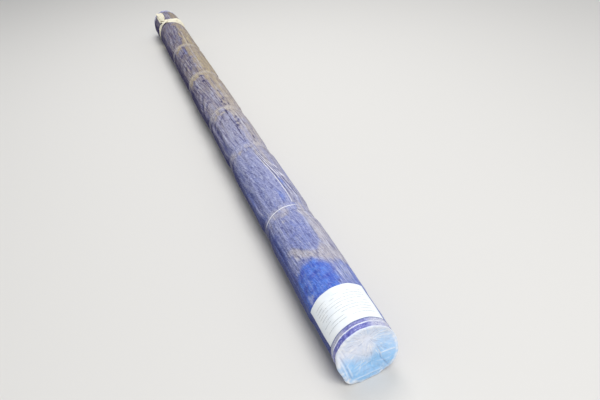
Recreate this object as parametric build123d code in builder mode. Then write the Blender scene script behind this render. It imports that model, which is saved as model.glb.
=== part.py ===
from build123d import *
import math
import os

os.makedirs("parts", exist_ok=True)

# A bundle of round steel rods in a woven sheet, lying along Y on one of its flats.
# Y = 0 is half way along, the labelled end is at -Y, and Z = 0 is the floor.
# All sizes are in millimetres.

# Rods, close packed on a triangular lattice
rod_diameter = 22.0
rod_length = 3658.0  # the 12 ft stock length
rod_gap = 0.2  # between neighbours
lattice_reach = 13  # a rod is in the bundle up to this squared lattice distance

# Wrap: a few turns of thin sheet, drawn in under each binding
wrap_clearance = 0.3  # rods to wrap
wrap_wall = 3.0
wrap_end_wall = 3.0  # the sheet folded in over the rods' ends
fold_opening_diameter = 56.0  # where the folds of an end meet
draw_in_length = 14.0  # along which the wrap narrows to a binding

# Bindings lie flush with the wrap between them
binding_clearance = 0.3
film_thickness = 0.5
film_lap = 37.0  # how far the end film reaches along the side
bag_depth = 24.0  # how far sheet packed behind the film pushes it out at the labelled end
bag_top = 172.0  # height above the floor where the film starts to lean out
bag_shoulder = 84.0  # height below which it stands out in full
tape_thickness = 0.5
tape_width = 60.0
tape_places = [648.0, 1185.0, 1615.0, 2165.0, 2720.0]  # from the labelled end

# Label: an A5 paper sheet, round the top and one side
label_width = 210.0  # round the bundle
label_length = 148.0  # along the bundle
label_thickness = 0.4
label_gap = 1.5  # from the end film
label_start_angle = 173.0  # of its left edge, in degrees from +X, seen from the labelled end

# Lifting sling: two strands of flat webbing, choked on the flat beside the top one
sling_from_far_end = 316.0
choke_angle = 120.0  # in degrees from +X
strand_width = 44.0
webbing_thickness = 2.0
loop_width = 76.0  # of both strands, which lie partly over each other
choke_width = 56.0  # across the bundle
choke_length = 78.0  # along the bundle
choke_height = 12.0
tail_width = 56.0
tail_thickness = 5.0  # two plies of webbing
tail_length = 262.0

rod_radius = rod_diameter / 2
rod_pitch = rod_diameter + rod_gap
row_height = rod_pitch * math.sqrt(3) / 2

# Skins are distances out from the rods' own outline
wrap_inner_skin = wrap_clearance
wrap_skin = wrap_inner_skin + wrap_wall
label_inner_skin = wrap_skin + binding_clearance

wrap_length = rod_length + 2 * (wrap_clearance + wrap_end_wall)
overall_length = wrap_length + 2 * (binding_clearance + film_thickness) + bag_depth
near_end = -overall_length / 2 + bag_depth  # the rim of the film, behind its bag
far_end = overall_length / 2
wrap_near = near_end + film_thickness + binding_clearance
wrap_far = wrap_near + wrap_length
rods_near = wrap_near + wrap_end_wall + wrap_clearance
sling_place = far_end - sling_from_far_end


def lattice_points():
    """Places in the lattice as (x, z) from its centre, each with its squared distance."""
    rows = math.ceil(math.sqrt(lattice_reach * 4 / 3))
    points = []
    for row in range(-rows, rows + 1):
        for step in range(-2 * rows, 2 * rows + 1):
            distance = step * step + step * row + row * row
            if distance <= lattice_reach:
                points.append(((step + row / 2) * rod_pitch, row * row_height, distance))
    return points


lattice = lattice_points()
lowest_rod = min(z for x, z, distance in lattice)
axis_height = wrap_skin + rod_radius - lowest_rod
rod_places = [(x, z + axis_height) for x, z, distance in lattice]

# The outermost rods are the corners of the bundle's outline
corner_reach = max(distance for x, z, distance in lattice)
corner_rods = sorted(
    [(x, z) for x, z, distance in lattice if distance == corner_reach],
    key=lambda place: math.atan2(place[1], place[0]),
)
corner_places = [(x, z + axis_height) for x, z in corner_rods]


def reach(angle, skin):
    """How far the outline stands out from the bundle's axis, in the direction of this angle."""
    across, up = math.cos(math.radians(angle)), math.sin(math.radians(angle))
    return max(x * across + z * up for x, z in corner_rods) + rod_radius + skin


def section(place):
    """The plane across the bundle at a place along it."""
    return Plane.XZ.offset(-place)


def outline(skin, mode=Mode.ADD):
    """The flats round the rods, this far out from them, in the sketch that is open."""
    with BuildSketch(mode=Mode.PRIVATE) as shape:
        Polygon(*corner_places, align=None)
        offset(amount=rod_radius + skin, kind=Kind.INTERSECTION)
    add(shape.sketch, mode=mode)


def ring(inner_skin, outer_skin):
    """The outline of something wound round the bundle."""
    outline(outer_skin)
    outline(inner_skin, mode=Mode.SUBTRACT)


def seat_skin(thickness):
    """How far out the wrap stands under a binding of this thickness."""
    return wrap_skin - thickness - binding_clearance


def wrap_stations():
    """Places along the wrap with how far out it stands there."""
    film_seat = seat_skin(film_thickness)
    tape_seat = seat_skin(tape_thickness)
    sling_seat = seat_skin(webbing_thickness)
    seats = [(near_end + place, tape_width, tape_seat) for place in tape_places]
    seats.append((sling_place, loop_width, sling_seat))
    stations = [(wrap_near, film_seat), (near_end + film_lap, film_seat)]
    stations.append((near_end + film_lap + draw_in_length, wrap_skin))
    for place, width, skin in sorted(seats):
        half = width / 2
        stations.append((place - half - draw_in_length, wrap_skin))
        stations.append((place - half, skin))
        stations.append((place + half, skin))
        stations.append((place + half + draw_in_length, wrap_skin))
    stations.append((far_end - film_lap - draw_in_length, wrap_skin))
    stations.append((far_end - film_lap, film_seat))
    stations.append((wrap_far, film_seat))
    return stations


# Steel rods, side by side without touching
with BuildPart() as steel_rods:
    with BuildSketch(section(rods_near)):
        with Locations(*rod_places):
            Circle(rod_radius)
    extrude(amount=-rod_length)
steel_rods.part.label = "steel_rods"
export_step(steel_rods.part, "parts/steel_rods.step")

# Blue wrap, drawn in at its bindings and folded in over the ends
with BuildPart() as blue_wrap:
    for place, skin in wrap_stations():
        with BuildSketch(section(place)):
            outline(skin)
    loft(ruled=True)
    with BuildSketch(section(rods_near - wrap_clearance)):
        outline(wrap_inner_skin)
    extrude(amount=-rod_length - 2 * wrap_clearance, mode=Mode.SUBTRACT)
    with BuildSketch(section(wrap_near)):
        with Locations((0, axis_height)):
            Circle(fold_opening_diameter / 2)
    extrude(amount=-wrap_length, mode=Mode.SUBTRACT)
blue_wrap.part.label = "blue_wrap"
export_step(blue_wrap.part, "parts/blue_wrap.step")


def film_bag():
    """Sheet packed behind the film in front of the labelled end, its face leaning out downward."""
    above = 3 * axis_height
    before = near_end - 2 * bag_depth
    lean = [(near_end, bag_top), (near_end - bag_depth, bag_shoulder), (before, bag_shoulder)]
    with BuildPart(mode=Mode.PRIVATE) as bag:
        with BuildSketch(section(near_end)):
            outline(wrap_skin)
        extrude(amount=bag_depth)
        with BuildSketch(Plane.YZ):
            Polygon(*lean, (before, above), (near_end, above), align=None)
        extrude(amount=2 * axis_height, both=True, mode=Mode.SUBTRACT)
    return bag.part


def end_film(end, inward):
    """A cup of film over one end. inward is +1 at the near end and -1 at the far end."""
    with BuildPart() as film:
        with BuildSketch(section(end)):
            outline(wrap_skin)
        extrude(amount=-inward * film_thickness)
        with BuildSketch(section(end + inward * film_thickness)):
            ring(wrap_skin - film_thickness, wrap_skin)
        extrude(amount=-inward * (film_lap - film_thickness))
    return film


near_end_film = end_film(near_end, 1)
with near_end_film:
    add(film_bag())
near_end_film.part.label = "near_end_film"
export_step(near_end_film.part, "parts/near_end_film.step")

far_end_film = end_film(far_end, -1)
far_end_film.part.label = "far_end_film"
export_step(far_end_film.part, "parts/far_end_film.step")

# Tape bands
for number, tape_place in enumerate(tape_places, start=1):
    with BuildPart() as tape_band:
        with BuildSketch(section(near_end + tape_place - tape_width / 2)):
            ring(wrap_skin - tape_thickness, wrap_skin)
        extrude(amount=-tape_width)
    tape_band.part.label = f"tape_band_{number}"
    export_step(tape_band.part, f"parts/tape_band_{number}.step")

# Label, cut from a full ring by a wedge between its two edges
wedge_reach = 4 * axis_height
label_turn = math.degrees(label_width / reach(choke_angle, label_inner_skin))
wedge_angles = [label_start_angle - turn * label_turn for turn in (0, 0.5, 1)]
wedge_rim = [
    (
        wedge_reach * math.cos(math.radians(angle)),
        axis_height + wedge_reach * math.sin(math.radians(angle)),
    )
    for angle in wedge_angles
]
with BuildPart() as label:
    with BuildSketch(section(near_end + film_lap + label_gap)):
        ring(label_inner_skin, label_inner_skin + label_thickness)
        Polygon((0, axis_height), *wedge_rim, align=None, mode=Mode.INTERSECT)
    extrude(amount=-label_length)
label.part.label = "label"
export_step(label.part, "parts/label.step")

# The choked loop of the sling, the choke on it and the tail along the bundle
choke_lean = math.radians(choke_angle)
choke_seat = reach(choke_angle, wrap_skin)
choke_corner = choke_height / 3


def beside_choke(height):
    """A plane over the choke's flat, its X along the bundle, this far out from the loop."""
    across, up = math.cos(choke_lean), math.sin(choke_lean)
    out = choke_seat + height
    origin = (out * across, sling_place, axis_height + out * up)
    return Plane(origin=origin, x_dir=(0, 1, 0), z_dir=(across, 0, up))


with BuildPart() as lifting_sling:
    with BuildSketch(section(sling_place - loop_width / 2)):
        ring(wrap_skin - webbing_thickness, wrap_skin)
    extrude(amount=-loop_width)
    with BuildSketch(beside_choke(-webbing_thickness / 2)):
        Rectangle(strand_width, choke_width - strand_width / 2)
    extrude(amount=webbing_thickness / 2 + binding_clearance)
    with BuildSketch(beside_choke(binding_clearance)):
        RectangleRounded(choke_length, choke_width, choke_width / 4)
    extrude(amount=choke_height)
    outward = Axis((0, 0, 0), beside_choke(0).z_dir)
    choke_top = lifting_sling.faces().sort_by(outward)[-1]
    fillet(choke_top.edges(), choke_corner)
    with BuildSketch(beside_choke(binding_clearance)):
        with Locations((tail_length / 2, 0)):
            SlotOverall(tail_length, tail_width)
    extrude(amount=tail_thickness)
lifting_sling.part.label = "lifting_sling"
export_step(lifting_sling.part, "parts/lifting_sling.step")
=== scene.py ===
import math
from functools import partial, reduce

import bmesh
import bpy
import numpy as np
from mathutils import Matrix, Vector
from mathutils.bvhtree import BVHTree


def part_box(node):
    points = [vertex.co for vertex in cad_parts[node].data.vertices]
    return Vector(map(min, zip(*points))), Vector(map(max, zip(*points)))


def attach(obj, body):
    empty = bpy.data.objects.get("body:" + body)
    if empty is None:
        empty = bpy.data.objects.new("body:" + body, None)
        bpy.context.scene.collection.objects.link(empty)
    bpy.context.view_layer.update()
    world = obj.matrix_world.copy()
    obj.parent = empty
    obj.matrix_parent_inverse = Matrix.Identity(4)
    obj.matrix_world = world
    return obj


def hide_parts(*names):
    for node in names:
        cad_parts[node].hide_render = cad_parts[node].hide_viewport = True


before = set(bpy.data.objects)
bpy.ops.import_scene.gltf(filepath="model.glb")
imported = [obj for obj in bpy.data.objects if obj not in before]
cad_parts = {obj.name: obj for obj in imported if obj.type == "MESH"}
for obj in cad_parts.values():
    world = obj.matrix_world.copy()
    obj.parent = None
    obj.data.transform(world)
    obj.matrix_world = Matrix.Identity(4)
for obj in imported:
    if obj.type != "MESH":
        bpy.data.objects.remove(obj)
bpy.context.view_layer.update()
print("frame loaded")

# Places along the bundle are metres from the labelled end.
# Angles round it are degrees from straight up, + to the right seen from the labelled end.
wrapLow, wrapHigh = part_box("blue_wrap")
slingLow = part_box("lifting_sling")[0]
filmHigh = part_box("near_end_film")[1]
labelLow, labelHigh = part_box("label")
tapeNodes = sorted(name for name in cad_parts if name.startswith("tape_band_"))
firstBandLow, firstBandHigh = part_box(tapeNodes[0])

filmStandoff = 0.0008  # the film's thickness and the gap under it
bundle = {
    "nearY": wrapLow[1] - filmStandoff,  # the rim of the labelled end, behind the bag of its film
    "length": wrapHigh[1] - wrapLow[1] + 2 * filmStandoff,
    "axisZ": (wrapLow[2] + wrapHigh[2]) / 2,
    "roundRadius": 0.0931,  # of the wrap, which rounds off the rods' twelve flats
    "faceting": 0.0005,  # how much of the flats still shows
    "flatTurn": 30.0,  # degrees from one flat to the next
    "innerRadius": 0.0916,  # clear of the corner rods
    "outside": 0.16,  # farther from the axis than anything on the bundle
    "unrollRadius": 0.0935,  # turns angles to distances on the things wound round it
    "drawInReach": 0.012,  # how soon the sheet is drawn in beside a binding
    "filmLap": filmHigh[1] - wrapLow[1] + filmStandoff,
    "tapeWidth": firstBandHigh[1] - firstBandLow[1],
}


def alongOf(y):
    return y - bundle["nearY"]


tapePlaces = [alongOf((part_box(name)[0][1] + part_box(name)[1][1]) / 2) for name in tapeNodes]

camera = {
    "fromAxis": 1.334,  # metres from the bundle's axis, across it
    "across": -0.3486,  # the direction from the axis to the camera, across the bundle
    "up": 0.9373,
    "beforeEnd": 0.7301,  # how far in front of the labelled end, as a share of fromAxis
    "right": (0.9365, -0.3436, -0.0697),
    "over": (0.2468, 0.5048, 0.8272),
    "back": (-0.2490, -0.7919, 0.5575),
    "lens": 33.6,
    "angle": -20.4,  # of the line along the bundle that faces the camera
}


def placeCamera():
    data = bpy.data.cameras.new("camera")
    data.lens = camera["lens"]
    data.sensor_width = 36
    data.clip_end = 50
    eye = bpy.data.objects.new("camera", data)
    bpy.context.collection.objects.link(eye)
    turn = Matrix((camera["right"], camera["over"], camera["back"])).transposed()
    far = camera["fromAxis"]
    place = Vector((
        camera["across"] * far,
        bundle["nearY"] - camera["beforeEnd"] * far,
        bundle["axisZ"] + camera["up"] * far,
    ))
    eye.matrix_world = Matrix.Translation(place) @ turn.to_quaternion().to_matrix().to_4x4()
    bpy.context.scene.camera = eye


placeCamera()

# Small helpers


# 0 below low, 1 above high, and a soft step between
def smooth(value, low, high):
    t = np.clip((value - low) / (high - low), 0, 1)
    return t * t * (3 - 2 * t)


# 1 at the middle, and down to 0 in about twice this width
def bell(value, middle, width):
    return np.exp(-((value - middle) / width) ** 2)


# The value at each place on a line through pairs of place and value
def curve(places, pairs):
    return np.interp(places, *zip(*pairs))


# Smooth random values from 0 to 1, that meet where a turn closes
def softNoise(turn, along, cellsRound, cellLength, seed):
    draw = np.random.default_rng(seed)
    rows = int(math.ceil(bundle["length"] / cellLength)) + 8
    grid = draw.random((cellsRound, rows))
    u = np.mod(turn, 1) * cellsRound
    v = np.clip(along / cellLength + 3, 0, rows - 2.001)
    iu, iv = np.floor(u).astype(int), np.floor(v).astype(int)
    fu, fv = u - iu, v - iv
    fu, fv = fu * fu * (3 - 2 * fu), fv * fv * (3 - 2 * fv)
    a, b = iu % cellsRound, (iu + 1) % cellsRound
    low = grid[a, iv] * (1 - fu) + grid[b, iv] * fu
    high = grid[a, iv + 1] * (1 - fu) + grid[b, iv + 1] * fu
    return low * (1 - fv) + high * fv


# Thin raised lines on a low ground, from 0 to 1
def ridges(turn, along, cellsRound, cellLength, seed):
    return 1 - np.abs(2 * softNoise(turn, along, cellsRound, cellLength, seed) - 1)


def toPoints(angle, along, radius):
    a = np.radians(angle)
    x = radius * np.sin(a)
    z = bundle["axisZ"] + radius * np.cos(a)
    return np.stack([x, bundle["nearY"] + along, z], -1)


# Angle, place along and radius of each vertex of a mesh
def toTurns(mesh):
    spots = np.zeros(len(mesh.vertices) * 3)
    mesh.vertices.foreach_get("co", spots)
    x, y, z = spots.reshape(-1, 3).T
    z = z - bundle["axisZ"]
    return np.degrees(np.arctan2(x, z)), alongOf(y), np.hypot(x, z)


# An sRGB hex colour as linear red, green, blue and alpha
def linear(code):
    parts = [int(code[i:i + 2], 16) / 255 for i in (1, 3, 5)]
    return tuple(p / 12.92 if p <= 0.04045 else ((p + 0.055) / 1.055) ** 2.4 for p in parts) + (1.0,)


# Nodes that come back most: type, settings, and inputs in the order in which they are given.
# The scales of noise and cells are 1000 / the size of their patches in millimetres.
nodeKinds = {
    "mix": ("ShaderNodeMix", {"data_type": "RGBA", "clamp_factor": True}, (0, 6, 7)),
    "ramp": ("ShaderNodeMapRange", {"interpolation_type": "SMOOTHSTEP"}, (0, 1, 2, 3, 4)),
    "noise": ("ShaderNodeTexNoise", {}, ("Vector", "Scale", "Detail", "Roughness")),
    "cells": ("ShaderNodeTexVoronoi", {"feature": "F1"}, ("Vector", "Scale")),
    "stretch": ("ShaderNodeMapping", {}, ("Vector", "Scale")),
    "slant": ("ShaderNodeMapping", {"vector_type": "TEXTURE"}, ("Vector", "Rotation", "Scale")),
    "combine": ("ShaderNodeCombineXYZ", {}, (0, 1, 2)),
    "separate": ("ShaderNodeSeparateXYZ", {}, (0,)),
    "bump": ("ShaderNodeBump", {}, ("Height", "Distance", "Strength")),
    "attribute": ("ShaderNodeAttribute", {}, ()),
    "vector": ("ShaderNodeVectorMath", {}, (0, 1, 2)),
    "store": (
        "GeometryNodeStoreNamedAttribute", {"data_type": "FLOAT", "domain": "POINT"},
        ("Geometry", "Name", "Value"),
    ),
}


# Sets a node's inputs to values, or links them from sockets or from the first output in use of other nodes
def setInputs(node, inputs):
    for name, value in inputs.items():
        if isinstance(value, bpy.types.Node):
            value = next(socket for socket in value.outputs if socket.enabled)
        if isinstance(value, bpy.types.NodeSocket):
            node.id_data.links.new(value, node.inputs[name])
        else:
            node.inputs[name].default_value = value


# Adds a node: of a kind above, of one of Blender's own types, or a Math node with this operation.
# Its inputs are given in their order or by name in a dictionary, and its settings by name.
def addNode(tree, kind, *inputs, **settings):
    if kind in nodeKinds:
        typeName, fixed, order = nodeKinds[kind]
    elif "Node" in kind:
        typeName, fixed, order = kind, {}, range(len(inputs))
    else:
        typeName, fixed, order = "ShaderNodeMath", {"operation": kind}, range(len(inputs))
    node = tree.nodes.new(typeName)
    for name, value in dict(fixed, **settings).items():
        setattr(node, name, value)
    for name, value in zip(order, inputs):
        setInputs(node, value if isinstance(value, dict) else {name: value})
    return node


# A material, the function that adds nodes to it, and its surface shader
def newMaterial(name):
    material = bpy.data.materials.new(name)
    material.use_nodes = True
    tree = material.node_tree
    return material, partial(addNode, tree), tree.nodes["Principled BSDF"]


# Shape of the wrap

wrap = {
    "columns": 188,
    "rows": 478,
    "wall": 0.0020,
    "step": 0.0016,  # the flap over the layer below it
    "stepShare": [(0.2, 0.25), (0.5, 1)],  # the flap lies closer under the label: along, share of the step
    "flapDepth": 0.009,
    "flapLift": [
        (0.0, 0), (0.40, 0), (0.50, 0.002), (0.75, 0.0032), (0.95, 0.0026), (1.10, 0.0016), (3.66, 0.0016),
    ],
    "puff": 0.0050,
    "pleats": 17,  # on each side of each binding
    "slackFolds": 120,
    "flankFolds": 46,
    "openingRadius": 0.028,
    "endInset": 0.0026,
    "rim": 0.0035,
    "overFloor": 0.0004,
    "insideOverFloor": 0.0009,
    # where the flap's edge runs: along, angle
    "seam": [
        (0.00, 24), (0.30, 21), (0.45, 16), (0.68, 15.6), (0.80, 13.6), (0.90, 10.6), (1.00, 4),
        (1.10, -2.4), (1.25, -5.4), (1.40, -6.4), (1.60, -8), (1.90, -12), (2.20, -17), (2.50, -15),
        (2.70, -12), (2.90, -8), (3.10, 0), (3.25, 6), (3.70, 8),
    ],
}

sling = {
    "loopWidth": 0.076,
    "thickness": 0.0011,
    "strandWidth": 0.050,
    "chokeLength": 0.078,
    "chokeAngle": -30.0,
    "openLeft": -0.050,  # where the loop's strands leave the wrap, round it from the choke
    "openRight": 0.054,
    "apart": (0.007, 0.027),  # half the way between the two strands, and how much more where they fan out
    "fanAngle": 62.0,
    "stand": 0.011,  # how far the far strand's far edge stands off the wrap
    # strands as (round, along, height over the wrap, twist, width), in millimetres and degrees
    "bight": [
        (-70, -11, 0.1, 0, 50), (-62, -11, 0.8, 0, 51), (-50, -11.5, 1.2, 0, 51), (-42, -12.5, 2.6, 1, 46),
        (-33, -15, 4.8, 3, 37), (-24, -18, 7.0, 6, 28), (-14, -21, 10.0, 12, 21), (0, -24, 12.0, 18, 19),
        (13, -22, 13.0, 30, 18), (23, -14, 14.0, 46, 17), (27, 0, 14.2, 54, 17), (24, 13, 13.0, 46, 17),
        (14, 21, 10.0, 26, 18), (0, 23, 6.4, 10, 19), (-12, 20, 5.4, 4, 22), (-24, 16, 5.4, 2, 28),
        (-33, 13, 5.0, 0, 37), (-42, 11.5, 3.6, 0, 46), (-50, 11, 2.4, 0, 51), (-62, 11, 1.2, 0, 51),
        (-70, 11, 0.1, 0, 50),
    ],
    "legs": [
        (72, -26, 0.1, 0, 50), (64, -24.5, 0.8, 0, 51), (53, -22.5, 1.1, 0, 51), (44, -19.5, 2.0, 0, 46),
        (35, -16, 2.6, 0, 39), (27, -13, 3.2, 0, 32), (19, -8, 4.6, -4, 24), (11, -3, 7.2, -10, 19),
        (3, 3, 10.0, -12, 19), (-3, 13, 12.2, -6, 20), (-6, 25, 11.6, 0, 23), (-7, 38, 8.6, 0, 29),
        (-7, 56, 4.6, 0, 37), (-7, 80, 2.2, 0, 42), (-7, 120, 1.5, 0, 43), (-6, 190, 1.5, 0, 43),
        (-5, 222, 1.9, 0, 42), (-3, 240, 3.2, 0, 41), (-1, 251, 6.0, 0, 40), (0, 254, 9.0, 0, 40),
        (1, 250, 11.6, 0, 40), (2, 238, 11.2, 0, 41), (4, 220, 7.4, 0, 42), (6, 192, 4.4, 0, 43),
        (6, 150, 3.8, 0, 43), (5, 110, 4.2, 0, 42), (4, 78, 6.8, 0, 38), (3, 54, 11.0, 0, 31),
        (4, 36, 14.8, 0, 25), (7, 23, 16.0, 4, 21), (12, 13, 13.8, 10, 19), (18, 9, 9.6, 8, 19),
        (25, 11, 6.0, 3, 24), (33, 15, 4.2, 0, 34), (42, 19.5, 2.6, 0, 44), (52, 22.5, 1.2, 0, 51),
        (63, 24.5, 0.8, 0, 51), (72, 26, 0.1, 0, 50),
    ],
    "splice": [
        (6, 196, 5.9, 0, 41), (6, 180, 5.5, 0, 41), (6, 150, 5.3, 0, 41), (5.4, 118, 5.5, 0, 41),
        (5, 106, 5.9, 0, 41),
    ],
}
sling["place"] = alongOf(slingLow[1]) + sling["chokeLength"] / 2

# Each binding: its middle, half its width, how deep it draws the sheet in, and its room below
bindings = [(place, bundle["tapeWidth"] / 2, 0.0007, 0.0012) for place in tapePlaces]
bindings.append((sling["place"], sling["loopWidth"] / 2, 0.0010, 0.0024))
bindings.append((bundle["filmLap"] / 2, bundle["filmLap"] / 2, 0.0006, 0.0016))
bindings.append((bundle["length"] - bundle["filmLap"] / 2, bundle["filmLap"] / 2, 0.0006, 0.0016))


def seamAngle(along):
    fine = np.linspace(0, bundle["length"], 400)
    line = curve(fine, wrap["seam"])
    kernel = np.hanning(17)
    line = np.convolve(np.pad(line, 8, mode="edge"), kernel / kernel.sum(), mode="valid")
    return np.interp(along, fine, line)


# The wrapped outline, with a trace of the flats between corner rods
def outlineRadius(angle):
    corner = np.cos(np.radians(angle) * 360 / bundle["flatTurn"])
    return bundle["roundRadius"] - bundle["faceting"] * corner


# The most radius that leaves this clearance over the floor
def overFloor(angle, clearance):
    down = np.maximum(-np.cos(np.radians(angle)), 0.3)  # farther up there is no need of a limit
    return (bundle["axisZ"] - clearance) / down


def innerRadius(angle, along):
    return np.minimum(bundle["innerRadius"], overFloor(angle, wrap["insideOverFloor"] + roomUnder(along)))


# 1 under a binding, and down to 0 this far from its edge
def tightness(along, reach):
    held = np.zeros_like(along)
    for place, half, depth, room in bindings:
        held = np.maximum(held, 1 - smooth(np.abs(along - place) - half, 0.0, reach))
    return held


# 1 beside each tape, and down to 0 in a few times this reach
def beside(along, reach):
    near = np.zeros_like(along)
    for place in tapePlaces:
        near = np.maximum(near, bell(np.maximum(np.abs(along - place) - 0.020, 0), 0, reach))
    return near


# The most of a value that the bindings have there: how deep they draw the sheet in, or their room below
def atBindings(along, whichValue):
    most = np.zeros_like(along)
    for place, half, *values in bindings:
        share = 1 - smooth(np.abs(along - place) - half, 0.0, bundle["drawInReach"])
        most = np.maximum(most, values[whichValue] * share)
    return most


def drawIn(along):
    return atBindings(along, 0)


# Height that bindings take between the sheet and the floor
def roomUnder(along):
    return atBindings(along, 1)


# An angle as -180 to 180 degrees
def signedAngle(angle):
    return np.mod(angle + 180, 360) - 180


# A soft ridge through points of (along, angle), with a hollow beside it
def fold(angle, along, points, rise, width, lean=1.0, fade="both"):
    radius = bundle["roundRadius"]
    points = np.array(points, float)
    middle = points[:, 1].mean()
    across = np.radians(signedAngle(angle - middle)) * radius
    path = np.stack([points[:, 0], np.radians(points[:, 1] - middle) * radius], 1)
    lengths = np.linalg.norm(np.diff(path, axis=0), axis=1)
    low, high = path.min(0) - 4 * width, path.max(0) + 4 * width
    near = (along > low[0]) & (along < high[0]) & (across > low[1]) & (across < high[1])
    out = np.zeros(angle.shape)
    if not near.any():
        return out
    spots = np.stack([along[near], across[near]], 1)
    best, side, run = np.full(len(spots), 1e9), np.zeros(len(spots)), np.zeros(len(spots))
    start = 0.0
    for a, b, length in zip(path[:-1], path[1:], lengths):
        way = (b - a) / length
        t = np.clip((spots - a) @ way, 0, length)
        gap = spots - a - t[:, None] * way
        far = np.hypot(gap[:, 0], gap[:, 1])
        closer = far < best
        best = np.where(closer, far, best)
        side = np.where(closer, np.sign(gap[:, 1] * way[0] - gap[:, 0] * way[1]), side)
        run = np.where(closer, (start + t) / lengths.sum(), run)
        start += length
    if fade == "both":
        taper = np.sin(np.pi * np.clip(run, 0.001, 0.999)) ** 0.6
    else:
        taper = (1 - run) ** 1.3
    x = best * side / width
    ridge = bell(x, 0, 1) - 0.5 * bell(x, 1.8 * lean, 1.2)
    out[near] = rise * ridge * taper
    return out


# Folds that the sheet shows: points of (along, angle), rise and width in metres, lean
shownFolds = [
    ([(0.69, 21), (0.82, 21), (0.95, 17), (1.08, 10), (1.18, 7)], 0.0026, 0.0036, 1),
    ([(0.69, 28), (0.85, 27), (1.00, 22), (1.10, 16), (1.20, 13)], 0.0028, 0.0038, 1),
    ([(0.74, 35), (0.90, 34), (1.05, 27), (1.20, 20)], 0.0024, 0.0040, 1),
    ([(0.40, 30), (0.62, 31), (0.85, 33)], 0.0016, 0.005, -1),
    ([(0.36, 40), (0.60, 39), (0.90, 36), (1.15, 33)], 0.0020, 0.006, 1),
    ([(1.22, 20), (1.45, 19), (1.60, 16)], 0.0016, 0.006, 1),
    ([(1.22, 33), (1.50, 30), (1.80, 26), (2.10, 24)], 0.0018, 0.007, -1),
    ([(2.20, -55), (2.30, -42), (2.42, -25)], 0.0030, 0.008, 1),
    ([(2.22, -40), (2.32, -38), (2.50, -30)], 0.0022, 0.008, -1),
    ([(1.70, -88), (1.80, -70), (1.88, -52), (1.90, -38)], 0.0042, 0.010, 1),
    ([(1.62, -84), (1.72, -64), (1.79, -50), (1.82, -36)], 0.0036, 0.010, 1),
    ([(2.04, -92), (2.09, -76), (2.12, -62), (2.12, -48)], 0.0040, 0.009, -1),
    ([(2.23, 2), (2.50, 4), (2.80, 8), (3.05, 16)], 0.0016, 0.007, 1),
    ([(2.23, 14), (2.55, 16), (2.90, 22), (3.15, 28)], 0.0020, 0.008, -1),
    ([(2.78, -52), (2.92, -46), (3.05, -40)], 0.0030, 0.009, 1),
    ([(2.80, -78), (2.98, -66), (3.16, -58)], 0.0032, 0.010, -1),
    ([(0.70, -66), (0.84, -76), (1.00, -84)], 0.0026, 0.008, 1),
    ([(0.42, -46), (0.54, -42), (0.61, -34)], 0.0022, 0.006, 1),
    ([(0.19, -34), (0.26, -38), (0.34, -44)], 0.0016, 0.005, -1),
    ([(0.19, 14), (0.27, 20), (0.33, 18)], 0.0014, 0.005, 1),
    ([(1.22, -72), (1.36, -66), (1.56, -70)], 0.0030, 0.009, 1),
    ([(1.24, -52), (1.42, -46), (1.58, -44)], 0.0020, 0.008, -1),
    ([(0.70, -50), (0.90, -46), (1.12, -42)], 0.0014, 0.007, 1),
]


# Pleats that leave each binding, slack folds between bindings, and slanted folds on the left flank
def randomFolds():
    draw = np.random.default_rng(21)
    made = []
    for place, half, depth, room in bindings:
        if place < bundle["filmLap"] or place > bundle["length"] - bundle["filmLap"]:
            continue
        for way in (-1, 1):
            for count in range(wrap["pleats"]):
                angle = draw.uniform(-180, 180)
                start = place + way * (half - 0.012)
                reach = draw.uniform(0.05, 0.17)
                turn = draw.normal(0, 7)
                points = [(start + way * reach * t, angle + turn * t**1.7) for t in (0, 0.5, 1)]
                sizes = draw.uniform(0.0006, 0.0019), draw.uniform(0.0035, 0.006)
                made.append((points, *sizes, draw.choice([-1, 1]), "one"))
    for count in range(wrap["slackFolds"]):
        start, angle = draw.uniform(0.2, 3.2), draw.uniform(-125, 140)
        reach, drift, bow = draw.uniform(0.12, 0.46), draw.normal(0, 5), draw.normal(0, 1.5)
        points = [
            (start, angle), (start + reach / 2, angle + drift / 2 + bow), (start + reach, angle + drift)
        ]
        sizes = draw.uniform(0.0004, 0.0014), draw.uniform(0.0030, 0.0065)
        made.append((points, *sizes, draw.choice([-1, 1]), "both"))
    for count in range(wrap["flankFolds"]):
        start, angle = draw.uniform(1.3, 3.3), draw.uniform(-100, -45)
        points = [(start, angle), (start + 0.06, angle + draw.uniform(14, 30))]
        points.append((start + 0.09, angle + draw.uniform(32, 52)))
        sizes = draw.uniform(0.0010, 0.0030), draw.uniform(0.005, 0.009)
        made.append((points, *sizes, draw.choice([-1, 1]), "both"))
    return made


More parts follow.
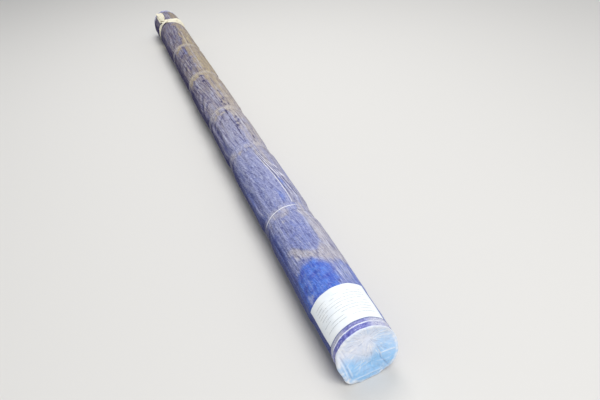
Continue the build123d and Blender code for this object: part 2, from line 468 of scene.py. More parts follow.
# The wrap's outer surface, as a distance from the bundle's axis, and its folds' share of that
def surface(angle, along):
    turn = angle / 360
    outline = outlineRadius(angle)
    down = np.cos(np.radians(angle))  # 1 at the top, -1 below
    held = tightness(along, 0.055)
    loose = 1 - held
    slack = smooth(down, -0.95, -0.1)  # the rods' weight keeps the underside taut
    warp = 0.02 * (softNoise(turn, along, 9, 0.11, 1) - 0.5)
    bulge = softNoise(turn + warp, along, 7, 0.21, 2)
    puff = wrap["puff"] * loose * slack * (0.15 + bulge)
    lines = np.zeros_like(angle)
    for points, rise, width, lean in shownFolds:
        lines += fold(angle, along, points, rise, width, lean)
    for points, rise, width, lean, fade in randomFolds():
        lines += fold(angle, along, points, rise, width, lean, fade)
    shear = 0.35 * along
    crinkle = 0.0005 * (ridges(turn + warp * 2, along, 17, 0.110, 3) ** 2 - 0.33)
    crinkle += 0.0005 * (ridges(turn + shear + warp * 2, along, 31, 0.060, 4) ** 2 - 0.33)
    crinkle += 0.0004 * (ridges(turn - shear + warp, along, 37, 0.045, 5) ** 2 - 0.33)
    crinkle += 0.0004 * (ridges(turn + warp * 3, along, 71, 0.026, 6) ** 2 - 0.33)
    crinkle += 0.0011 * (ridges(turn + warp * 2, along, 67, 0.030, 9) ** 2 - 0.33) * beside(along, 0.030)
    underLabel = smooth(along, 0.03, 0.05) * (1 - smooth(along, 0.17, 0.20))
    calm = (1 - 0.8 * held) * (1 - 0.75 * underLabel) * (0.25 + 0.75 * slack)
    puff *= 1 - 0.7 * underLabel
    relief = (lines + crinkle) * calm
    radius = outline + 0.0008 * loose * slack + puff + relief - drawIn(along)
    radius = np.maximum(radius, bundle["innerRadius"] + 0.0005)
    return np.minimum(radius, overFloor(angle, wrap["overFloor"] + roomUnder(along))), relief


# Dust on the wrap: violet-grey dust nearly everywhere, tan dust where it lay thickest, with painted shade and
# painted highlights
dustShadeAndHighlights = {
    # metres along the bundle, and the value there
    "leastViolet": [(0.6, 0.10), (1.3, 0.70)],
    "softness": [(1.0, 3.0), (1.3, 17.0), (2.6, 9.0)],  # degrees in which tan dust begins beside the flap
    "strength": [
        (0.3, 0.80), (0.5, 0.80), (0.7, 0.56), (0.9, 0.48), (1.15, 0.74), (1.5, 0.86), (2.2, 0.92),
        (3.2, 0.92),
    ],
    "drift": [(0.4, 0.04), (1.0, 0.18), (1.3, 0.40), (1.5, 0.42), (2.0, 0.46), (2.6, 0.48), (3.3, 0.46)],
    "atBindings": [(0.5, 0.05), (1.2, 0.40), (2.0, 0.85)],
    # painted shade further along the bundle, and painted shade on the left flank
    "shade": [(0.9, 0.0), (1.6, 0.14), (2.3, 0.34), (3.0, 0.48)],
    "flankShade": [(0.2, 0.80), (0.4, 0.96), (1.2, 0.98), (2.0, 0.96), (3.3, 0.96)],
    # a painted shadow line beside the flap's edge, and a painted highlight on the edge itself
    "edgeShadow": [(0.5, 0), (0.7, 0.45), (0.95, 0.8), (1.2, 0.55), (3.2, 0.65), (3.4, 0)],
    "edgeHighlight": [(0.40, 0), (0.50, 0.5), (0.66, 1.0), (0.88, 1.0), (1.00, 0.5), (1.12, 0)],
    # degrees from the line that faces the camera, and metres along the bundle there
    "cleanEdge": [
        (-60, 0.290), (-40, 0.325), (-20, 0.348), (0, 0.336), (15, 0.312), (30, 0.293), (45, 0.285),
    ],
    "arc": [(-30, 0.430), (-20, 0.412), (0, 0.366), (20, 0.345), (35, 0.350), (50, 0.350), (62, 0.350)],
    "arcWidth": [(-30, 0.016), (-20, 0.026), (0, 0.020), (20, 0.028), (35, 0.052), (50, 0.056), (62, 0.05)],
    # patches: along, degrees from that line, half sizes, share
    "rubbedOff": [
        (0.47, 8, 0.10, 30, 0.14), (0.83, 44, 0.06, 7, 0.55), (0.72, 20, 0.035, 7, 0.45),
        (1.30, 8, 0.07, 6, 0.15), (2.80, 6, 0.08, 7, 0.9), (2.95, -2, 0.06, 6, 0.6), (2.58, 3, 0.10, 3, 0.8),
        (3.02, -52, 0.22, 16, 0.35), (1.80, -52, 0.20, 12, 0.3), (0.835, 43, 0.030, 5, 0.9),
    ],
    "thickTan": [
        (3.02, 44, 0.12, 12, 1.0), (1.60, 40, 0.10, 14, 0.95), (3.22, 30, 0.06, 30, 0.8),
        (0.40, -20, 0.035, 8, 1.0), (0.60, 47, 0.06, 9, 1.0), (1.20, 48, 0.05, 14, 1.0),
        (1.18, 40, 0.03, 12, 0.9), (2.16, -22, 0.045, 10, 0.9), (2.15, 30, 0.05, 14, 0.95),
        (1.60, -30, 0.035, 14, 0.6),
    ],
    "scuffs": [
        (0.214, -40, 0.020, 4, 0.30), (0.250, -24, 0.032, 1.6, 0.16), (0.204, -32, 0.012, 5, 0.32),
        (0.262, -33, 0.036, 1.2, 0.12), (0.245, 34, 0.050, 2.4, 0.20), (0.235, 43, 0.050, 2.2, 0.24),
        (0.250, 50, 0.060, 2.0, 0.24), (0.230, 58, 0.050, 2.4, 0.22),
    ],
    # patches without a share
    "flecks": [
        (1.385, 22, 0.014, 5), (1.400, 31, 0.010, 4), (1.425, 27, 0.010, 5), (1.450, 34, 0.008, 3),
        (1.470, 26, 0.012, 5), (1.485, 31, 0.008, 4), (1.350, 17, 0.030, 1.6), (1.545, 15, 0.024, 2.2),
        (1.585, 18, 0.014, 3), (1.665, 24, 0.018, 3), (1.690, 18, 0.016, 3.4), (1.715, 28, 0.026, 2.2),
        (1.660, 36, 0.016, 2), (1.74, 33, 0.016, 1.6), (1.825, 33, 0.010, 4), (1.845, 29, 0.012, 2.4),
        (2.110, 3, 0.010, 7), (2.020, 5, 0.012, 4), (1.22, 44, 0.016, 3), (1.26, 46, 0.020, 2.4),
    ],
    # folds whose crests get a painted highlight: points of (along, angle), and how pale
    "paleLines": [
        ([(0.18, 13), (0.24, 14), (0.31, 17)], 0.40), ([(0.18, 19), (0.25, 21), (0.32, 22)], 0.48),
        ([(0.18, 25), (0.26, 27), (0.33, 28)], 0.48), ([(0.18, 32), (0.25, 33), (0.32, 34)], 0.45),
        ([(0.19, 39), (0.28, 40), (0.36, 40)], 0.40), ([(0.40, 22), (0.52, 20), (0.64, 18)], 0.35),
        ([(0.32, 27), (0.42, 26), (0.52, 25)], 0.30), ([(0.30, 33), (0.50, 30), (0.64, 29)], 0.35),
        ([(0.66, -60), (0.72, -66), (0.77, -68)], 0.35), ([(1.30, 20), (1.45, 18), (1.60, 14)], 0.35),
        ([(2.30, 6), (2.50, 6), (2.80, 8), (3.05, 14)], 0.30),
    ],
}


# 1 in a patch and down to 0 past its edge, which this much noise makes ragged
def inPatch(along, seen, patch, ragged, inner, outer):
    place, middle, halfLength, halfTurn = patch
    far = np.hypot((along - place) / halfLength, (seen - middle) / halfTurn)
    return 1 - smooth(far + ragged, inner, outer)


# Shares of violet dust, tan dust and painted shade at each place
def dustAndShadeMap(angle, along):
    turn = angle / 360
    seen = signedAngle(angle - camera["angle"])  # from the line that faces the camera
    patch = softNoise(turn, along, 23, 0.05, 31) - 0.5
    small = softNoise(turn, along, 60, 0.018, 32) - 0.5
    streak = softNoise(turn, along, 75, 0.16, 33) - 0.5
    violet = 0.80 + 0.25 * patch + 0.25 * small + 0.15 * streak
    least = curve(along, dustShadeAndHighlights["leastViolet"])
    violet *= least + (1 - least) * smooth(seen + 16 * patch + 8 * streak, -68, -28)
    violet *= 1 - 0.75 * smooth(seen + 20 * patch, 92, 140)
    violet += 0.16 + 0.12 * smooth(along, 1.1, 1.4)
    # the clean patch behind the label
    front = curve(seen, dustShadeAndHighlights["cleanEdge"]) + 0.024 * patch + 0.006 * small
    sides = smooth(seen + 10 * small, -66, -54) * (1 - smooth(seen + 16 * streak + 8 * small, 19, 38))
    clean = (1 - smooth(along, front - 0.016, front + 0.014)) * sides
    violet = violet * (1 - 0.93 * clean)
    violet *= 1 - 0.44 * (1 - smooth(along, 0.30, 0.36)) * smooth(seen, 20, 40)
    for *where, amount in dustShadeAndHighlights["rubbedOff"]:
        violet *= 1 - amount * inPatch(along, seen, where, 0.5 * patch, 0.5, 1.1)
    # an arc of tan dust past the clean patch
    far = np.abs(along - curve(seen, dustShadeAndHighlights["arc"])) / curve(seen, dustShadeAndHighlights["arcWidth"])
    tan = 0.98 * (1 - smooth(far + 0.6 * patch + 0.4 * small, 0.4, 1.5)) * smooth(seen, -48, -20)
    tan *= 1 - smooth(seen, 75, 95)
    # tan dust to the right of the flap's edge, and everywhere further along
    pastSeam = signedAngle(angle - seamAngle(along))
    softness = curve(along, dustShadeAndHighlights["softness"])
    side = smooth(pastSeam + 6 * small + 0.7 * softness * patch, -1.5, softness)
    side = side * (1 - smooth(seen, 100, 130)) * smooth(along, 0.31, 0.36)
    tan = np.maximum(tan, side * (curve(along, dustShadeAndHighlights["strength"]) + 0.35 * patch + 0.60 * streak))
    uneven = (0.20 * patch + 0.22 * streak) * smooth(along, 0.6, 1.5)
    tan = np.maximum(tan, curve(along, dustShadeAndHighlights["drift"]) + uneven)
    # tan dust caught beside the bindings
    caught = beside(along + 0.06 * patch + 0.05 * small, 0.030)
    caught = caught * smooth(seen + 30 * patch, -66, -40) * (1 - smooth(seen, 40, 60))
    tan = np.maximum(tan, caught * (curve(along, dustShadeAndHighlights["atBindings"]) + 1.5 * patch + 0.9 * small))
    for *where, amount in dustShadeAndHighlights["thickTan"]:
        tan = np.maximum(tan, amount * inPatch(along, seen, where, 0.5 * patch, 0.4, 1.1))
    # painted shade: darker further along the bundle and less so on its right, painted shade on the left
    # flank, and a painted shadow line beside the flap's edge
    fromTop = 1 - 0.6 * smooth(seen, 5, 25)
    shade = curve(along, dustShadeAndHighlights["shade"]) * fromTop + 0.14 * patch
    shade *= 1 - 0.7 * np.clip(caught, 0, 1)
    shade = shade + curve(along, dustShadeAndHighlights["flankShade"]) * (1 - smooth(seen + 14 * patch + 16 * streak, -74, -24))
    line = bell(pastSeam, 1.8, 1.1) * curve(along, dustShadeAndHighlights["edgeShadow"])
    shade = np.maximum(shade, line * (0.75 + streak))
    fleck = np.zeros_like(angle)
    for where in dustShadeAndHighlights["flecks"]:
        fleck = np.maximum(fleck, inPatch(along, seen, where, 1.2 * small, 0.5, 1.3))
    return np.clip(violet, 0, 1), np.clip(tan, 0, 1), np.clip(shade + 0.75 * fleck, 0, 1)


# A colour on each vertex of a mesh, its channels given as shares
def paint(mesh, name, *shares):
    layer = mesh.color_attributes.new(name, "FLOAT_COLOR", "POINT")
    values = [np.broadcast_to(share, len(mesh.vertices)) for share in shares]
    values += [np.ones(len(mesh.vertices))] * (4 - len(values))
    layer.data.foreach_set("color", np.stack(values, -1).astype(np.float32).ravel())


# A mesh of quads on a grid that closes in its columns, and in its rows too unless told otherwise
def closedGrid(name, points, uv, closeRows=True):
    rows, columns = points.shape[:2]
    index = np.arange(rows * columns).reshape(rows, columns)
    below = np.roll(index, -1, axis=0) if closeRows else index[1:]
    here = index if closeRows else index[:-1]
    faces = np.stack([here, np.roll(here, -1, axis=1), np.roll(below, -1, axis=1), below], -1).reshape(-1, 4)
    mesh = bpy.data.meshes.new(name)
    mesh.from_pydata(points.reshape(-1, 3).tolist(), [], faces.tolist())
    layer = mesh.uv_layers.new(name="unrolled")
    corners = np.zeros(len(mesh.loops), np.int32)
    mesh.loops.foreach_get("vertex_index", corners)
    layer.data.foreach_set("uv", uv.reshape(-1, 2)[corners].astype(np.float32).ravel())
    mesh.polygons.foreach_set("use_smooth", np.ones(len(mesh.polygons), bool))
    piece = bpy.data.objects.new(name, mesh)
    bpy.context.collection.objects.link(piece)
    return piece


# Several meshes in one
def together(pieces):
    mesh = bmesh.new()
    for piece in pieces:
        mesh.from_mesh(piece.data)
    return mesh


# Turns the faces over if the closed mesh is inside out
def faceOutward(piece):
    mesh = together([piece])
    if mesh.calc_volume(signed=True) < 0:
        bmesh.ops.reverse_faces(mesh, faces=mesh.faces)
        mesh.to_mesh(piece.data)
    print(piece.name, "volume", round(mesh.calc_volume(), 7), "faces", len(mesh.faces))
    mesh.free()


# Dust, painted shade, painted highlights on the flap's edge and on fold crests, and scuffs on the wrap, whose
# first rows have this relief
def paintWrap(piece, angle, place, relief):
    violet, tan, shade = dustAndShadeMap(angle, place)
    # dust stays on the ridges of folds and leaves their hollows, which get painted shade
    ridge = np.zeros_like(angle)
    ridge[:len(relief)] = relief / 0.0016
    violet = np.clip(violet * (1 + 0.25 * np.clip(ridge, -1, 1)), 0, 1)
    shade = np.clip(shade + 0.38 * np.clip(-ridge, 0, 1) - 0.12 * np.clip(ridge, 0, 1), 0, 1)
    # painted highlights on the flap's edge and the crests of folds, and scuffs worn pale
    pastSeam = signedAngle(angle - seamAngle(place))
    wearAndHighlight = 0.35 * bell(pastSeam, -1.2, 1.9) * curve(place, dustShadeAndHighlights["edgeHighlight"])
    broken = 0.3 + 1.3 * softNoise(angle / 360, place, 60, 0.024, 51)
    for line, amount in dustShadeAndHighlights["paleLines"]:
        begins, ends = line[0][0], line[-1][0]
        inside = smooth(place, begins, begins + 0.06) * (1 - smooth(place, ends - 0.06, ends))
        off = signedAngle(angle - curve(place, line))
        wearAndHighlight = np.maximum(wearAndHighlight, amount * bell(off, 0, 1.5) * inside * broken)
    seen = pastSeam + seamAngle(place) - camera["angle"]
    small = softNoise(angle / 360, place, 90, 0.014, 32) - 0.5
    for *where, amount in dustShadeAndHighlights["scuffs"]:
        wearAndHighlight = np.maximum(wearAndHighlight, amount * inPatch(place, seen, where, 2.0 * small, 0.3, 1.2))
    wearAndHighlight = np.clip(wearAndHighlight, 0, 1)
    paint(piece.data, "dustAndShadeMap", *[share.ravel() for share in (violet, tan, shade, wearAndHighlight)])


def makeWrap():
    columns, rows, length = wrap["columns"], wrap["rows"], bundle["length"]
    edgeTurn = math.degrees(1 / bundle["roundRadius"])  # degrees to a metre of the way round
    depth = wrap["flapDepth"] * edgeTurn
    end, rim = wrap["endInset"], wrap["rim"]
    # rows lie closer together near the labelled end, which is seen from closest
    spread = np.linspace(0, 1, rows)
    along = end + 0.003 + (length - 2 * end - 0.006) * (0.72 * spread + 0.28 * spread**2)
    firstTurn = 0.0022 * edgeTurn
    top = firstTurn + (360 + depth - firstTurn) * np.linspace(0, 1, columns - 3)

    # from under the flap's edge, over it and round to below it again
    past = np.concatenate([[depth, 0.0006 * edgeTurn, 0.0], top])
    past = np.broadcast_to(past, (rows, columns))
    angles = seamAngle(along)[:, None] - past
    places = np.broadcast_to(along[:, None], angles.shape)
    around = np.clip(past / 360, 0, 1)
    loose = curve(places, wrap["flapLift"]) * (1 - tightness(places, 0.04))
    lift = loose * (0.5 + softNoise(0 * places, places, 3, 0.09, 8))
    step = wrap["step"] * curve(places, wrap["stepShare"])
    raised = step * (1 - around) + lift * np.exp(-past / edgeTurn / 0.009)
    raised = np.where(around >= 1, 0, raised)
    raised[:, 0] = 0.0005
    raised[:, 1] -= 0.0009
    radii, relief = surface(angles, places)
    radii = radii + raised * (1 - 0.5 * tightness(places, 0.02))
    radii = np.minimum(radii, overFloor(angles, wrap["overFloor"] + roomUnder(places)))

    # The rim, the sheet folded in over the rods' ends, and the way back inside
    def endRows(rowAngles, rowRadii, face, inward):
        made = []
        for share, rise in ((0.0, 0.0022), (0.0012, 0.0010), (rim, 0.0)):
            made.append((rowRadii - share, face + inward * rise))
        for t in np.linspace(0.12, 1, 7):
            made.append(((rowRadii - rim) * (1 - t) + wrap["openingRadius"] * t, face))
        inner = innerRadius(rowAngles, np.full_like(rowAngles, 0.02))
        for t in (0.0, 0.5, 1.0):
            made.append((inner * t + wrap["openingRadius"] * (1 - t), face + inward * wrap["wall"]))
        return [(rowAngles, np.full_like(rowAngles, y), r) for r, y in made]

    near = endRows(angles[0], radii[0], end, 1)
    far = endRows(angles[-1], radii[-1], length - end, -1)
    sheet = [(angles[i], places[i], radii[i]) for i in range(rows)] + far
    for t in np.linspace(0.1, 0.9, 9):
        inside = angles[-1] * (1 - t) + angles[0] * t
        y = np.full_like(inside, length - (length - 0.01) * t)
        sheet.append((inside, y, innerRadius(inside, np.full_like(inside, sling["place"]))))
    sheet += near[::-1]
    angle, place, radius = [np.stack(part) for part in zip(*sheet)]
    uv = np.stack([(angle - seamAngle(place)) / edgeTurn, place], -1)
    piece = closedGrid("blueWrap", toPoints(angle, place, radius), uv)
    paintWrap(piece, angle, place, relief)
    faceOutward(piece)
    return piece


blueWrap = makeWrap()
print("wrap made")

# Strips wound round the wrap: tape, label and webbing


# A tree for a geometry modifier, the function that adds nodes to it, and the sockets of its inputs
def newTree(name, sockets):
    tree = bpy.data.node_groups.new(name, "GeometryNodeTree")
    tree.interface.new_socket(name="Geometry", in_out="OUTPUT", socket_type="NodeSocketGeometry")
    for socketName, kind in sockets:
        tree.interface.new_socket(name=socketName, in_out="INPUT", socket_type="NodeSocket" + kind)
    return tree, partial(addNode, tree), tree.nodes.new("NodeGroupInput").outputs


def woundStripTree():
    sockets = [
        ("wrap", "Object"), ("start", "Float"), ("sweep", "Float"), ("place", "Float"), ("width", "Float"),
        ("stepsRound", "Int"), ("stepsAcross", "Int"), ("lift", "Float"), ("rise", "Float"),
        ("thickness", "Float"), ("beadPlace", "Float"), ("beadWidth", "Float"), ("bead", "Float"),
        ("wander", "Float"), ("seed", "Float"), ("easing", "Int"), ("axisZ", "Float"), ("fan", "Float"),
        ("fanAngle", "Float"), ("overFloor", "Float"), ("stand", "Float"), ("material", "Material"),
    ]
    tree, add, given = newTree("woundStrip", sockets)
    grid = add("GeometryNodeMeshGrid", {
        "Size X": given["sweep"], "Size Y": given["width"],
        "Vertices X": given["stepsRound"], "Vertices Y": given["stepsAcross"],
    })
    # the flat grid's first axis becomes the way round, and its second the way across the strip
    fromMiddle, across = add("separate", add("GeometryNodeInputPosition")).outputs[:2]
    passed = add("ADD", fromMiddle, add("MULTIPLY", given["sweep"], 0.5))
    angle = add("ADD", passed, given["start"])
    sine, cosine = add("SINE", angle), add("COSINE", angle)

    # the strip's edges wander a little
    side = add("MULTIPLY", add("SIGN", across), 3.1)
    where = add(
        "combine", add("MULTIPLY", sine, 1.6), add("ADD", side, given["seed"]),
        add("ADD", add("MULTIPLY", cosine, 1.6), add("MULTIPLY", passed, 0.35)),
    )
    edgeNoise = add("noise", where, 1.7)
    drift = add("MULTIPLY", add("SUBTRACT", edgeNoise, 0.5), given["wander"])
    edgeShare = add("DIVIDE", add("ABSOLUTE", across), add("MULTIPLY", given["width"], 0.5))
    y = add("ADD", add("ADD", across, given["place"]), add("MULTIPLY", drift, edgeShare))
    # a strand may swing to one side on part of its way round
    swing = add("COSINE", add("SUBTRACT", angle, given["fanAngle"]))
    swing = add("POWER", add("MULTIPLY_ADD", swing, 0.5, 0.5), 2.0)
    y = add("ADD", y, add("MULTIPLY", swing, given["fan"]))

    # a ray from outside finds how far out the wrap stands
    out = add("combine", sine, 0.0, cosine)
    axis = add("combine", 0.0, y, given["axisZ"])
    outside = add("vector", {0: out, "Scale": bundle["outside"]}, operation="SCALE")
    start = add("vector", axis, outside, operation="ADD")
    inward = add("vector", {0: out, "Scale": -1.0}, operation="SCALE")
    target = add("GeometryNodeObjectInfo", given["wrap"], transform_space="ORIGINAL")
    ray = add("GeometryNodeRaycast", {
        "Target Geometry": target.outputs["Geometry"], "Source Position": start,
        "Ray Direction": inward, "Ray Length": bundle["outside"],
    })
    reach = add("SUBTRACT", bundle["outside"], ray.outputs["Hit Distance"])
    kept = add("store", grid, "reach", reach)
    named = add("GeometryNodeInputNamedAttribute", {"Name": "reach"}, data_type="FLOAT")
    # the strip is taut, so it bridges small hollows and presses 0.6 mm into what stands proud
    smoothing = {"Value": named, "Iterations": given["easing"], "Weight": 0.9}
    eased = add("GeometryNodeBlurAttribute", smoothing, data_type="FLOAT")
    tautLine = add("MAXIMUM", eased, add("SUBTRACT", named, 0.0006))
    layer = add("MULTIPLY", add("DIVIDE", passed, 2 * math.pi), given["rise"])
    fromBead = add("ABSOLUTE", add("SUBTRACT", across, given["beadPlace"]))
    crest = add("ramp", add("DIVIDE", fromBead, given["beadWidth"]), 1.0, 0.0)
    # out from the wrap by its lift, by one more layer after a full turn, and by a raised bead
    radius = add("ADD", add("ADD", tautLine, given["lift"]), layer)
    radius = add("ADD", radius, add("MULTIPLY", crest, given["bead"]))
    # its far edge may stand off the wrap on the upper right
    upperRight = add("MULTIPLY", add("ramp", angle, 0.24, 0.62), add("ramp", angle, 1.95, 1.25))
    farShare = add("ramp", add("DIVIDE", across, add("MULTIPLY", given["width"], 0.5)), -0.7, 1.0)
    flare = add("MULTIPLY", add("POWER", farShare, 1.6), add("MULTIPLY", upperRight, given["stand"]))
    radius = add("ADD", radius, flare)
    # below, it never reaches the floor
    down = add("MAXIMUM", add("MULTIPLY", cosine, -1.0), 0.3)
    toFloor = add("DIVIDE", add("SUBTRACT", given["axisZ"], given["overFloor"]), down)
    radius = add("MINIMUM", radius, add("SUBTRACT", toFloor, given["thickness"]))
    spoke = add("vector", {0: out, "Scale": radius}, operation="SCALE")
    final = add("vector", axis, spoke, operation="ADD")
    unrolled = add("combine", add("MULTIPLY", passed, bundle["unrollRadius"]), across, 0.0)
    mapped = add("store", kept, "unrolled", unrolled, data_type="FLOAT2", domain="CORNER")
    marked = add("store", mapped, "crest", crest)
    placed = add("GeometryNodeSetPosition", {"Geometry": marked, "Position": final})
    # a thin solid: the faces pushed out by the thickness, and the same faces turned over below
    grown = {"Mesh": placed, "Offset Scale": given["thickness"], "Individual": False}
    outer = add("GeometryNodeExtrudeMesh", grown, mode="FACES")
    under = add("GeometryNodeFlipFaces", {"Mesh": placed})
    join = add("GeometryNodeJoinGeometry", outer)
    setInputs(join, {0: under})
    merged = add("GeometryNodeMergeByDistance", {"Geometry": join, "Distance": 1e-05})
    shaded = add("GeometryNodeSetShadeSmooth", {"Geometry": merged})
    real = add("GeometryNodeRealizeInstances", {"Geometry": shaded})
    done = add("GeometryNodeSetMaterial", {"Geometry": real, "Material": given["material"]})
    add("NodeGroupOutput", done)
    return tree


# A plain mesh object made by a geometry tree with these inputs
def fromTree(name, tree, values, start=None):
    piece = bpy.data.objects.new(name, start or bpy.data.meshes.new(name))
    bpy.context.collection.objects.link(piece)
    modifier = piece.modifiers.new(tree.name, "NODES")
    modifier.node_group = tree
    for item in tree.interface.items_tree:
        if item.in_out == "INPUT" and item.name in values:
            modifier[item.identifier] = values[item.name]
    graph = bpy.context.evaluated_depsgraph_get()
    mesh = bpy.data.meshes.new_from_object(
        piece.evaluated_get(graph), preserve_all_data_layers=True, depsgraph=graph
    )
    piece.modifiers.clear()
    piece.data = mesh
    mesh.name = name
    return piece


stripTree = woundStripTree()

strips = {
    "wrap": blueWrap, "axisZ": bundle["axisZ"], "stepsAcross": 13, "lift": 0.0002, "rise": 0.0003,
    "thickness": 0.0002, "beadPlace": 0.0, "beadWidth": 0.0024, "bead": 0.0, "wander": 0.004, "seed": 0.0,
    "easing": 6, "fan": 0.0, "fanAngle": 0.0, "overFloor": 0.0002, "stand": 0.0,
}


def woundStrip(name, material, start, sweep, along, width, **others):
    values = dict(strips, start=math.radians(start), sweep=math.radians(sweep), width=width)
    values.update(place=bundle["nearY"] + along, stepsRound=max(40, int(sweep * 0.62)), material=material)
    values.update(others)
    return fromTree(name, stripTree, values)


# Materials


# 1 on a line at this value, 0 past half its width
def stripe(add, value, middle, half):
    return add("ramp", add("ABSOLUTE", add("SUBTRACT", value, middle)), half, half * 0.35)


# Painted highlight and painted shade shares of the lines along the flap's edge
def edgeLines(add, place):
    wayRound, along = add("separate", place).outputs[:2]
    grain = add("stretch", place, (60.0, 16.0, 1.0))  # breaks of 17 by 60 mm
    broken = add("ramp", add("noise", grain, 1.0, 3.0, 0.6), 0.36, 0.56)
    # the folds beside the edge draw together toward the second tape
    beyond = add("ADD", wayRound, 2 * math.pi * bundle["roundRadius"])
    spread = add("DIVIDE", beyond, add("ramp", along, 0.66, 1.2, 2.2, 0.7))
    held = add("MULTIPLY", add("ramp", along, 0.69, 0.76), add("ramp", along, 1.2, 1.12))
    # each line: its middle and half its width, in metres from the edge
    crests = ((0.0075, 0.0014), (0.0140, 0.0013), (0.0215, 0.0016), (0.0290, 0.0014))
    valleys = ((0.0035, 0.0018), (0.0108, 0.0015), (0.0178, 0.0015), (0.0250, 0.0016))
    most = partial(reduce, partial(add, "MAXIMUM"))
    pale, dark = [most([stripe(add, spread, *line) for line in lines]) for lines in (crests, valleys)]
    pale, dark = add("MULTIPLY", pale, held), add("MULTIPLY", dark, held)
    pale = add("MULTIPLY", add("MULTIPLY", pale, broken), 0.8)
    # the edge itself gets a painted highlight at first, and a painted shadow line lies beside it further on
    edge = add("MULTIPLY", stripe(add, wayRound, -0.0018, 0.0022), add("ramp", along, 0.5, 0.66))
    edge = add("MULTIPLY", edge, add("ramp", along, 1.14, 0.98))
    edge = add("MULTIPLY", edge, add("MULTIPLY_ADD", broken, 0.45, 0.5))
    pale = add("MAXIMUM", pale, edge)
    dirtAndShade = add("MULTIPLY", stripe(add, beyond, 0.0024, 0.002), add("ramp", along, 0.96, 1.1))
    dirtAndShade = add("MULTIPLY", add("MULTIPLY", dirtAndShade, add("ramp", along, 3.3, 3.15)), broken)
    dark = add("MAXIMUM", add("MULTIPLY", dark, 0.42), add("MULTIPLY", dirtAndShade, 0.8))
    return pale, dark
